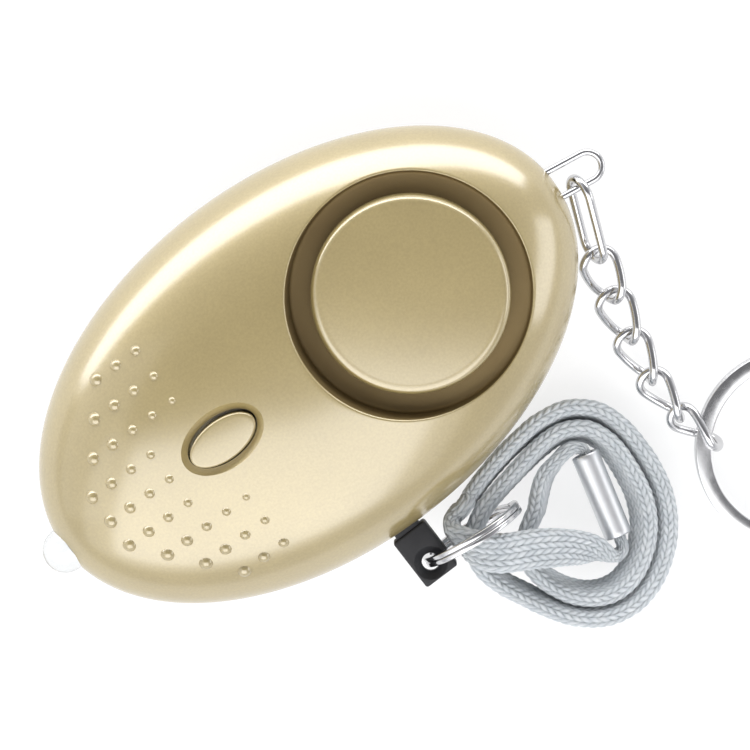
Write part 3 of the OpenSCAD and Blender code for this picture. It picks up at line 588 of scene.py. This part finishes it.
front_rows = [ringed(r, groove_floor) for r in (stem_hole, 5.0, 8.0, 10.5, 12.0)]
for r, z in bend((groove_r - 0.4, groove_floor), (groove_r, groove_floor),
                 (groove_r + 0.03, groove_floor + 0.4), 5):
    front_rows.append(ringed(r, z))
lip_r = groove_r + groove_draft * (front_top(groove_r + 0.3) - groove_floor)
lip_z = front_top(lip_r)
lip_soft = 0.3
wall_top = lip_z - lip_soft
for t in np.linspace(0.12, 0.92, 6):
    z = groove_floor + 0.4 + (wall_top - groove_floor - 0.4) * t
    front_rows.append(ringed(groove_r + groove_draft * (z - groove_floor), z))
for r, z in bend((lip_r - groove_draft * lip_soft, wall_top), (lip_r, lip_z),
                 (lip_r + lip_soft, front_top(lip_r + lip_soft)), 8):
    front_rows.append(ringed(r, z))
outer = reach(case_a, case_b)
face_from = lip_r + lip_soft
for s in np.linspace(0, 1, 130)[1:]:
    r = face_from + (outer - face_from) * (1 - (1 - s) ** 2)
    front_rows.append(ringed(r, np.maximum(front_top(r), front_z + 0.07)))
front_rows.append(ringed(outer - 0.02, front_z + 0.03))
front_rows.append(ringed(outer - 0.08, front_z))
inner = reach(case_a - wall, case_b - wall)
front_rows.append(ringed(inner, front_z))
for s in np.linspace(0, 1, 26)[1:]:
    r = inner + (cup_out - inner) * (1 - (1 - s) ** 0.5)
    z = front_z + dome(speaker_x + r * spoke_x, r * spoke_y, case_a - wall, case_b - wall, front_h - wall)
    front_rows.append(ringed(r, np.maximum(z, front_z + 0.01 * s)))
front_rows += [ringed(cup_out, cup_under), ringed(9.0, cup_under), ringed(stem_hole, cup_under)]
front_shell = skin("front_shell_skin", front_rows, wrap=True)

button_x = -11.2
hole_a, hole_b = 4.25, 2.45
skin_z = front_z + float(dome(button_x, 0, case_a, case_b, front_h))
bevel_foot = skin_z - 0.8
oval_turn = 2 * math.pi * np.arange(96) / 96


def oval_row(a, b, z, x=button_x):
    return np.stack([x + a * np.cos(oval_turn), b * np.sin(oval_turn), z + 0 * oval_turn], 1)


def seam_cutters(name):
    """The cut-outs at the seam, for the pin's blade, the light and the bail."""
    blade_room = slab(name + "_pin", (pin_x - 1.8, -23, pin_z - 1.3), (pin_x + 1.8, -14.5, pin_z + 1.3), 0)
    lamp_room = lathe(name + "_lamp", [(2.65, -4), (2.65, 4)], (-case_a, 0, seam_z), 64, "X")
    bail_room = slab(name + "_bail", (30.4, -2.8, seam_z - 0.625), (38.4, 2.8, seam_z + 0.625), 0)
    return blade_room, lamp_room, bail_room


bevel_rows = np.array([oval_row(hole_a, hole_b, 12.5), oval_row(hole_a, hole_b, bevel_foot),
                       oval_row(hole_a + 0.12, hole_b + 0.12, bevel_foot + 0.05),
                       oval_row(hole_a + 1.9, hole_b + 1.9, bevel_foot + 1.9)])
skin_slope = float(dome(button_x + 1, 0, case_a, case_b, front_h)
                   - dome(button_x - 1, 0, case_a, case_b, front_h)) / 2
bevel_rows[1:, :, 2] += skin_slope * (bevel_rows[1:, :, 0] - button_x)
button_room = skin("button_room", bevel_rows)
cut(front_shell, button_room, *seam_cutters("front_room"))
front_shell.data.shade_smooth()
front_shell.data.set_sharp_from_angle(angle=math.radians(28))

gold = Finish("champagne_gold").set(Metallic=0.3, IOR=1.5, Coat_Weight=1.0, Coat_Roughness=0.18,
                                    Coat_IOR=2.2)
gold_cloud = gold.noise(140, 3)
gold_tone = gold.ramp(gold_cloud, (0.3, (0.375, 0.292, 0.118)), (0.7, (0.405, 0.317, 0.131)))
gold_fleck = gold.ramp(gold.noise(3600, 2), (0.3, (0.93, 0.93, 0.93)), (0.7, (1.05, 1.05, 1.05)))
gold.link(gold.times(gold_tone, gold_fleck), gold.shader.inputs["Base Color"])
gold.link(gold.span(gold.noise(4200, 2), 0.36, 0.46), gold.shader.inputs["Roughness"])
gold.bump(gold.noise(5200, 3), 0.01 * MM, 0.35)
front_shell.data.materials.append(gold.material)
# The groove's walls and floor get a darker copy of the gold. This is painted shade for the shadow of the deep
# recess, not a finish of its own.
shade = Finish("groove_bronze").set(Metallic=0.6)
shade.link(shade.ramp(shade.noise(140, 3), (0.3, (0.215, 0.152, 0.066)), (0.7, (0.245, 0.178, 0.08))),
           shade.shader.inputs["Base Color"])
shade.link(shade.span(shade.noise(4200, 2), 0.45, 0.58), shade.shader.inputs["Roughness"])
shade.bump(shade.noise(5200, 3), 0.01 * MM, 0.35)
front_shell.data.materials.append(shade.material)
# Faces sunk below the skin inside the groove take the darker painted-shade gold.
for face in front_shell.data.polygons:
    spot = face.center / MM
    from_speaker = math.hypot(spot.x - speaker_x, spot.y)
    skin_here = front_z + float(dome(spot.x, spot.y, case_a, case_b, front_h))
    if from_speaker < groove_r + 0.5 and spot.z < skin_here - 0.25:
        face.material_index = 1
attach(front_shell, "case")
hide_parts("front_shell")

# The grip dots: round pips moulded on the front shell at the light's end, in rows that
# fan out round the button. Each row starts with its largest pip at the outer edge.
dot_rows = ((0, 0, 3), (1, 0, 3), (2, 1, 5), (3, 2, 5), (4, 3, 5))
dot_x0, dot_pitch_x, dot_pitch_y = -26.2, 2.65, 3.2
dot_r, dot_step, dot_sunk = 0.84, 0.092, 0.52


def node_tree(name, inputs):
    """A geometry node tree with a geometry input and further named inputs."""
    tree = bpy.data.node_groups.new(name, "GeometryNodeTree")
    tree.interface.new_socket("Geometry", in_out="INPUT", socket_type="NodeSocketGeometry")
    tree.interface.new_socket("Geometry", in_out="OUTPUT", socket_type="NodeSocketGeometry")
    for label, kind in inputs:
        tree.interface.new_socket(label, in_out="INPUT", socket_type=kind)
    return tree, tree.nodes.new("NodeGroupInput"), tree.nodes.new("NodeGroupOutput")


def grow(thing, tree, name, **values):
    """Runs a node tree on an object and keeps the result as a plain mesh object."""
    growth = thing.modifiers.new("growth", "NODES")
    growth.node_group = tree
    for socket in tree.interface.items_tree:
        key = socket.name.lower().replace(" ", "_")
        if socket.in_out == "INPUT" and key in values:
            growth[socket.identifier] = values[key]
    bpy.context.view_layer.update()
    mesh = bpy.data.meshes.new_from_object(thing.evaluated_get(bpy.context.evaluated_depsgraph_get()))
    thing.modifiers.remove(growth)
    bpy.data.objects.remove(thing)
    made = bpy.data.objects.new(name, mesh)
    scene.collection.objects.link(made)
    return made


dots_tree, dots_in, dots_out = node_tree("grip_dots", [
    ("Segments", "NodeSocketInt"), ("Rings", "NodeSocketInt"), ("Paint", "NodeSocketMaterial")])
pip = dots_tree.nodes.new("GeometryNodeMeshUVSphere")
pip.inputs["Radius"].default_value = 1.0
pip_size = dots_tree.nodes.new("GeometryNodeInputNamedAttribute")
pip_size.data_type = "FLOAT"
pip_size.inputs["Name"].default_value = "dot_radius"
pip_set = dots_tree.nodes.new("GeometryNodeInstanceOnPoints")
pip_real = dots_tree.nodes.new("GeometryNodeRealizeInstances")
pip_smooth = dots_tree.nodes.new("GeometryNodeSetShadeSmooth")
pip_paint = dots_tree.nodes.new("GeometryNodeSetMaterial")
for a, b in ((dots_in.outputs["Segments"], pip.inputs["Segments"]),
             (dots_in.outputs["Rings"], pip.inputs["Rings"]),
             (dots_in.outputs["Geometry"], pip_set.inputs["Points"]),
             (pip.outputs["Mesh"], pip_set.inputs["Instance"]),
             (pip_size.outputs["Attribute"], pip_set.inputs["Scale"]),
             (pip_set.outputs["Instances"], pip_real.inputs["Geometry"]),
             (pip_real.outputs["Geometry"], pip_smooth.inputs["Geometry"]),
             (pip_smooth.outputs["Geometry"], pip_paint.inputs["Geometry"]),
             (dots_in.outputs["Paint"], pip_paint.inputs["Material"]),
             (pip_paint.outputs["Geometry"], dots_out.inputs["Geometry"])):
    dots_tree.links.new(a, b)
dot_points, dot_sizes = [], []
for row, first, last in dot_rows:
    for side in ((1,) if row == 0 else (-1, 1)):
        for k in range(first, last + 1):
            x, y = dot_x0 + dot_pitch_x * k, side * row * dot_pitch_y
            r = dot_r - dot_step * (k - first)
            z = front_z + float(dome(x, y, case_a, case_b, front_h)) - dot_sunk * r
            dot_points.append((x * MM, y * MM, z * MM))
            dot_sizes.append(r * MM)
dot_mesh = bpy.data.meshes.new("grip_dot_places")
dot_mesh.from_pydata(dot_points, [], [])
dot_mesh.attributes.new("dot_radius", "FLOAT", "POINT").data.foreach_set("value", dot_sizes)
dot_places = bpy.data.objects.new("grip_dot_places", dot_mesh)
scene.collection.objects.link(dot_places)
grip_dots = grow(dot_places, dots_tree, "grip_dots", segments=28, rings=16, paint=gold.material)
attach(grip_dots, "case")

# The rear shell: the back half of the case in the same gold, cut flat where it rests.
# Four deep counterbores with posts behind them take the screws that hold the halves.
rear_z = seam_z - seam_gap / 2
screw_at = ((8.5, 15.6), (8.5, -15.6), (-20, 10.5), (-20, -10.5))
screw_seat = 5.6
rear_turn = 2 * math.pi * np.arange(320) / 320


def rear_row(a, b, share, z):
    return np.stack([a * share * np.cos(rear_turn), b * share * np.sin(rear_turn), z + 0 * rear_turn], 1)


def rear_out(share):
    free = rear_z - rear_h * math.sqrt(max(0, 1 - share ** fullness))
    return max(0, 0.5 * (free + math.sqrt(free * free + 0.01)) - 0.0033)


rear_rows = [rear_row(case_a, case_b, 0.01, 0)]
for s in np.linspace(0.1, 0.42, 6):
    rear_rows.append(rear_row(case_a, case_b, s, 0))
for s in np.linspace(0, 1, 90):
    share = 0.44 + 0.56 * (1 - (1 - s) ** 2)
    rear_rows.append(rear_row(case_a, case_b, share, min(rear_out(share), rear_z - 0.07)))
rear_rows.append(rear_row(case_a - 0.02, case_b - 0.02, 1, rear_z - 0.03))
rear_rows.append(rear_row(case_a - 0.08, case_b - 0.08, 1, rear_z))
for s in np.linspace(0, 1, 30):
    share = (1 - s) ** 0.5
    z = rear_z - (seam_z - floor_t - seam_gap / 2) * math.sqrt(max(0, 1 - share ** fullness))
    rear_rows.append(rear_row(case_a - wall, case_b - wall, max(share, 0.01), z))
rear_shell = skin("rear_shell_skin", rear_rows)
rear_posts = []
rear_bores = []
for k, (x, y) in enumerate(screw_at):
    floor_here = rear_z - float(dome(x, y, case_a, case_b, rear_h))
    post_rows = [[(x + r * math.cos(a), y + r * math.sin(a)) for a in 2 * math.pi * np.arange(40) / 40]
                 for r in (0.05, 1.0, 2.0, 2.9)]
    post_rows = [[(px, py, rear_z - float(dome(px, py, case_a, case_b, rear_h)) + 0.7) for px, py in row]
                 for row in post_rows]
    post_rows += [[(px, py, rear_z - 0.02) for px, py, _ in post_rows[3]]]
    rear_posts.append(skin(f"post_{k}", post_rows))
    bore_profile = [(2.3, -1), (2.1, floor_here + 1.2), (2.1, screw_seat), (1.2, screw_seat + 0.01),
                    (1.2, seam_z + 3)]
    rear_bores.append(lathe(f"bore_{k}", bore_profile, (x, y, 0), 40))
cut(rear_shell, *rear_posts, operation="UNION")
cut(rear_shell, *rear_bores, *seam_cutters("rear_room"))
rear_shell.data.shade_smooth()
rear_shell.data.set_sharp_from_angle(angle=math.radians(28))
rear_shell.data.materials.append(gold.material)
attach(rear_shell, "case")
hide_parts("rear_shell")

# The speaker cap: a round gold lid over the sounder with a rolled edge. It stands on a
# stem in the groove's floor, and the slit under its rim lets the sound out.
cap_r, cap_top, cap_slit = 10.6, 18.5, 15.4
cap_profile = [(2.0, 13.62), (2.0, 17.0), (8.4, 17.1), (9.1, cap_slit + 0.3), (9.25, cap_slit)]
cap_profile += [(cap_r - 0.1, cap_slit), (cap_r, cap_slit + 0.12), (cap_r, cap_top - 1.1)]
cap_profile += bend((cap_r, cap_top - 1.1), (cap_r - 0.02, cap_top + 0.06),
                    (cap_r - 1.0, cap_top + 0.02), 12)[1:]
cap_crown = 0.34
cap_profile += [(r, cap_top + 0.02 + cap_crown * (1 - (r / (cap_r - 1.0)) ** 2))
                for r in np.linspace(cap_r - 1.2, 0.05, 26)]
speaker_cap = lathe("speaker_cap_lid", cap_profile, (speaker_x, 0, 0), 192)
speaker_cap.data.set_sharp_from_angle(angle=math.radians(35))
speaker_cap.data.materials.append(gold.material)
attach(speaker_cap, "case")
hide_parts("speaker_cap")

# The light's button: an oval gold key with a soft edge. A lip under the skin keeps it in
# its hole, and it presses the switch on the board.
button_a, button_b, button_top = 4.05, 2.15, 19.75
button_slope = 0.07
lip_low, lip_high = 16.56, 17.05
button_rows = [oval_row(0.2, 0.1, lip_low), oval_row(hole_a + 0.55, hole_b + 0.55, lip_low),
               oval_row(hole_a + 0.6, hole_b + 0.6, lip_low + 0.05),
               oval_row(hole_a + 0.6, hole_b + 0.6, lip_high - 0.05),
               oval_row(hole_a + 0.55, hole_b + 0.55, lip_high), oval_row(button_a, button_b, lip_high + 0.02),
               oval_row(button_a, button_b, button_top - 0.36)]
for a in np.linspace(0, math.pi / 2, 8)[1:]:
    inset = 0.3 * (1 - math.cos(a))
    button_rows.append(oval_row(button_a - inset, button_b - inset, button_top - 0.36 + 0.3 * math.sin(a)))
for s in np.linspace(0.9, 0.02, 10):
    button_rows.append(oval_row((button_a - 0.3) * s, (button_b - 0.3) * s,
                                button_top - 0.06 + 0.06 * (1 - s * s)))
button_rows = np.array(button_rows)
on_top = button_rows[..., 2] > button_top - 0.4
button_rows[..., 1] -= np.where(button_rows[..., 2] > lip_high, 0.1, 0)
button_rows[..., 2] += np.where(on_top, button_slope * button_rows[..., 1], 0)
light_button = skin("light_button_key", button_rows)
light_button.data.set_sharp_from_angle(angle=math.radians(50))
light_button.data.materials.append(gold.material)
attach(light_button, "button")
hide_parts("light_button")

# The light: a clear 5 mm lamp with a round nose, held between the halves by its flange.
# Inside the lens stand the lead frame's cup with the chip, and the post beside it.
lamp_tip, lamp_r = -35.5, 2.5
lens_profile = [(lamp_r * math.sin(a), lamp_tip + lamp_r * (1 - math.cos(a)))
                for a in np.linspace(0.03, math.pi / 2, 20)]
lens_profile += [(lamp_r, -31.5), (lamp_r, -29.42), (2.86, -29.38), (2.9, -29.3), (2.9, -28.5),
                 (2.84, -28.41), (0.05, -28.4)]
lens = lathe("light_lens", lens_profile, (0, 0, seam_z), 72, "X")
lens.data.set_sharp_from_angle(angle=math.radians(40))
clear = Finish("clear_lens").set(Base_Color=(0.96, 0.975, 0.98, 1), IOR=1.5, Transmission_Weight=0.88)
clear.link(clear.span(clear.noise(600, 2), 0.03, 0.1), clear.shader.inputs["Roughness"])
lens.data.materials.append(clear.material)
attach(lens, "case")
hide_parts("led")
cup = lathe("light_cup", [(0.05, -31.5), (0.5, -31.55), (0.95, -32.35), (1.05, -32.35), (0.8, -31.1),
                          (0.62, -30.9), (0.55, -28.7), (0.05, -28.7)], (0, -0.25, seam_z), 40, "X")
lead_post = lathe("light_post", [(0.05, -32.1), (0.26, -32.05), (0.32, -31.9), (0.32, -28.7), (0.05, -28.7)],
                  (0, 1.45, seam_z), 24, "X")
glow = lathe("light_glow", [(0.05, -31.82), (0.4, -31.8), (0.62, -31.72), (0.5, -31.6), (0.05, -31.6)],
             (0, -0.25, seam_z), 32, "X")
tinned = Finish("tinned_frame").set(Metallic=1.0)
tinned.link(tinned.ramp(tinned.noise(2600, 4), (0.3, (0.66, 0.66, 0.64)), (0.7, (0.78, 0.78, 0.76))),
            tinned.shader.inputs["Base Color"])
tinned.link(tinned.span(tinned.noise(3000, 3), 0.2, 0.36), tinned.shader.inputs["Roughness"])
phosphor = Finish("yellow_phosphor")
phosphor.link(phosphor.ramp(phosphor.noise(5000, 3), (0.3, (0.80, 0.62, 0.10)), (0.7, (0.86, 0.70, 0.18))),
              phosphor.shader.inputs["Base Color"])
phosphor.link(phosphor.span(phosphor.noise(6000, 2), 0.5, 0.7), phosphor.shader.inputs["Roughness"])
for piece, finish, label in ((cup, tinned, "tin_metal"), (lead_post, tinned, "tin_metal"),
                             (glow, phosphor, "ceramic_white")):
    piece.data.set_sharp_from_angle(angle=math.radians(40))
    piece.data.materials.append(finish.material)
    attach(piece, "case")

# The chain and the bail: plated round wire. The bail is a closed hairpin round a post in the
# case. A long link joins it to five curb links, each with its two ends turned a quarter
# against each other, and the last one carries the key ring.
bail_wire, link_wire = 0.75, 0.95
link_len, link_wid, link_gap = 7.25, 4.7, 0.2
hook_len = 10.9
post_x, bail_r, bail_reach = 29.4, 1.575, 7.45
bail_lean = math.radians(-9)
hook_turn = (-112, 22, 65)
link_turns = ((-106, 18, 20), (-104, 14, 31), (-100, 8, 43), (-90, 3, 55), (-75, -2, 67))
link_step = link_len - 2 * link_wire - link_gap

wire_tree, wire_in, wire_out = node_tree("bent_wire", [
    ("Thickness", "NodeSocketFloat"), ("Sides", "NodeSocketInt"), ("Plating", "NodeSocketMaterial")])
wire_round = wire_tree.nodes.new("GeometryNodeCurvePrimitiveCircle")
wire_half = wire_tree.nodes.new("ShaderNodeMath")
wire_half.operation = "MULTIPLY"
wire_half.inputs[1].default_value = 0.5
wire_sweep = wire_tree.nodes.new("GeometryNodeCurveToMesh")
wire_sweep.inputs["Fill Caps"].default_value = True
wire_smooth = wire_tree.nodes.new("GeometryNodeSetShadeSmooth")
wire_real = wire_tree.nodes.new("GeometryNodeRealizeInstances")
wire_plate = wire_tree.nodes.new("GeometryNodeSetMaterial")
for a, b in ((wire_in.outputs["Thickness"], wire_half.inputs[0]),
             (wire_half.outputs[0], wire_round.inputs["Radius"]),
             (wire_in.outputs["Sides"], wire_round.inputs["Resolution"]),
             (wire_in.outputs["Geometry"], wire_sweep.inputs["Curve"]),
             (wire_round.outputs["Curve"], wire_sweep.inputs["Profile Curve"]),
             (wire_sweep.outputs["Mesh"], wire_smooth.inputs["Geometry"]),
             (wire_smooth.outputs["Geometry"], wire_real.inputs["Geometry"]),
             (wire_real.outputs["Geometry"], wire_plate.inputs["Geometry"]),
             (wire_in.outputs["Plating"], wire_plate.inputs["Material"]),
             (wire_plate.outputs["Geometry"], wire_out.inputs["Geometry"])):
    wire_tree.links.new(a, b)


def bent_wire(name, points, thickness, finish, closed=True, sides=24):
    line = bpy.data.curves.new(name + "_line", "CURVE")
    line.dimensions = "3D"
    spline = line.splines.new("POLY")
    spline.points.add(len(points) - 1)
    for spot, p in zip(spline.points, points):
        spot.co = (p[0] * MM, p[1] * MM, p[2] * MM, 1)
    spline.use_cyclic_u = closed
    holder = bpy.data.objects.new(name + "_line", line)
    scene.collection.objects.link(holder)
    return grow(holder, wire_tree, name, thickness=thickness * MM, sides=sides, plating=finish.material)


def oval_line(length, width, count=160):
    """Centre line of a link: two straight sides and two round ends."""
    r, straight = width / 2, length - width
    arc = math.pi * r
    points = []
    for k in range(count):
        d = (k + 0.5) / count * 2 * (straight + arc)
        if d < straight:
            points.append((-straight / 2 + d, -r, 0))
        elif d < straight + arc:
            a = -math.pi / 2 + (d - straight) / r
            points.append((straight / 2 + r * math.cos(a), r * math.sin(a), 0))
        elif d < 2 * straight + arc:
            points.append((straight / 2 - (d - straight - arc), r, 0))
        else:
            a = math.pi / 2 + (d - 2 * straight - arc) / r
            points.append((-straight / 2 + r * math.cos(a), r * math.sin(a), 0))
    return points


def heading(turn):
    a, drop = math.radians(turn[0]), math.radians(turn[1])
    return np.array((math.cos(a) * math.cos(drop), math.sin(a) * math.cos(drop), -math.sin(drop)))


def placed_link(name, start, turn, ahead, length, twist):
    """A link that leaves a meeting place in a heading, rolled about its own length."""
    pose = (Matrix.Translation(start) @ Matrix.Rotation(math.radians(turn[0]), 4, "Z")
            @ Matrix.Rotation(math.radians(turn[1]), 4, "Y") @ Matrix.Rotation(math.radians(turn[2]), 4, "X")
            @ Matrix.Translation((ahead, 0, 0)))
    points = []
    for x, y, z in oval_line(length - link_wire, link_wid - link_wire):
        a = math.radians(twist) * x / ((length - link_wire) / 2)
        points.append(pose @ Vector((x, y * math.cos(a), y * math.sin(a))))
    return bent_wire(name, points, link_wire, plated_wire)


bail_pose = Matrix.Translation((post_x, 0, seam_z)) @ Matrix.Rotation(bail_lean, 4, "Z")
bail_points = [bail_pose @ Vector((x + bail_reach / 2, y, 0)) for x, y, z in
               oval_line(bail_reach + 2 * bail_r, 2 * bail_r, 200)]
bail = bent_wire("bail_wire", bail_points, bail_wire, plated_wire)
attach(bail, "bail")
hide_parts("bail")

meeting = np.array((post_x + 5.6 * math.cos(bail_lean) + bail_r * math.sin(bail_lean),
                    5.6 * math.sin(bail_lean) - bail_r * math.cos(bail_lean), seam_z))
connector = placed_link("chain_connector_wire", meeting, hook_turn,
                        hook_len / 2 - link_wire - bail_wire / 2 - link_gap, hook_len, 0)
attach(connector, "connector")
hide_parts("chain_connector")
meeting = meeting + heading(hook_turn) * (hook_len - 2 * link_wire - bail_wire / 2 - 1.5 * link_gap)
for number, turn in enumerate(link_turns, 1):
    link = placed_link(f"chain_link_{number}_wire", meeting, turn, link_step / 2, link_len, 45)
    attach(link, f"link_{number}")
    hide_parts(f"chain_link_{number}")
    last_meeting, last_heading = meeting, heading(turn)
    meeting = meeting + last_heading * link_step

# The key ring: a plated split ring of two flat turns, lying on the table with its near
# side lifted by the last link. Keys are threaded on where the outer turn ends.
key_d, key_w, key_t = 22.0, 1.7, 0.85
key_dir, key_lean = math.radians(-46), math.radians(3.5)
bow_r = link_wid / 2 - link_wire
key_seat = (link_len - link_wid) / 2 + math.sqrt(bow_r ** 2 - key_t ** 2) - 0.66 * key_w - link_gap
key_from = last_meeting + last_heading * (link_step / 2 + key_seat)
key_pose = Matrix.Rotation(key_dir, 3, "Z") @ Matrix.Rotation(key_lean, 3, "Y")
key_x = np.array(key_pose @ Vector((1, 0, 0)))
key_y = np.array(key_pose @ Vector((0, 1, 0)))
key_r = (key_d - key_w) / 2
key_ring = split_ring("key_ring_turns", key_from + key_r * key_x, key_x, key_y, key_r, key_w, key_t,
                      math.radians(40), 300)
key_ring.data.materials.append(plated_wire.material)
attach(key_ring, "key_ring")
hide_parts("key_ring")

# The inside of the case: the board with its parts, the sounder in its chamber, the cells in
# their holder, the pin's switch and the screws. They are the solids of the frame as they
# are, each with the finish of its own material.
inside = {
    "board_green": ((0.02, 0.10, 0.04), (0.05, 0.20, 0.08), 0.0, 0.35, 0.55, 900),
    "tin_metal": ((0.52, 0.52, 0.50), (0.66, 0.66, 0.64), 1.0, 0.22, 0.42, 2600),
    "brass_plate": ((0.60, 0.40, 0.14), (0.72, 0.52, 0.22), 1.0, 0.25, 0.45, 1500),
    "ceramic_white": ((0.70, 0.68, 0.60), (0.82, 0.81, 0.75), 0.0, 0.5, 0.7, 2400),
    "chip_black": ((0.012, 0.012, 0.013), (0.03, 0.03, 0.032), 0.0, 0.4, 0.65, 3000),
    "wire_red": ((0.42, 0.02, 0.015), (0.52, 0.035, 0.025), 0.0, 0.35, 0.5, 1800),
    "holder_grey": ((0.03, 0.032, 0.034), (0.05, 0.052, 0.055), 0.0, 0.45, 0.6, 2600),
    "cell_steel": ((0.58, 0.58, 0.57), (0.70, 0.70, 0.69), 1.0, 0.18, 0.34, 3200),
    "black_plastic": ((0.012, 0.012, 0.014), (0.024, 0.024, 0.027), 0.0, 0.42, 0.6, 2500),
}
inside_finish = {}
for label, (dark, pale, metal, low, high, scale) in inside.items():
    finish = Finish("inside_" + label).set(Metallic=metal)
    grain = finish.noise(scale, 4)
    finish.link(finish.ramp(grain, (0.3, dark), (0.7, pale)), finish.shader.inputs["Base Color"])
    finish.link(finish.span(grain, low, high), finish.shader.inputs["Roughness"])
    finish.bump(grain, 0.006 * MM, 0.4)
    inside_finish[label] = finish.material
shown_by_pieces = {"front_shell", "rear_shell", "speaker_cap", "light_button", "led", "pull_pin", "pin_ring",
                   "wrist_strap", "strap_ferrule", "bail", "chain_connector", "key_ring"}
for part in frame["record"]["subparts"]:
    label = part["material_slot"]
    if part["node"] in shown_by_pieces or part["node"].startswith("chain_link"):
        continue
    solid = frame["nodes"][part["node"]]
    solid.data.materials.clear()
    solid.data.materials.append(inside_finish[label])
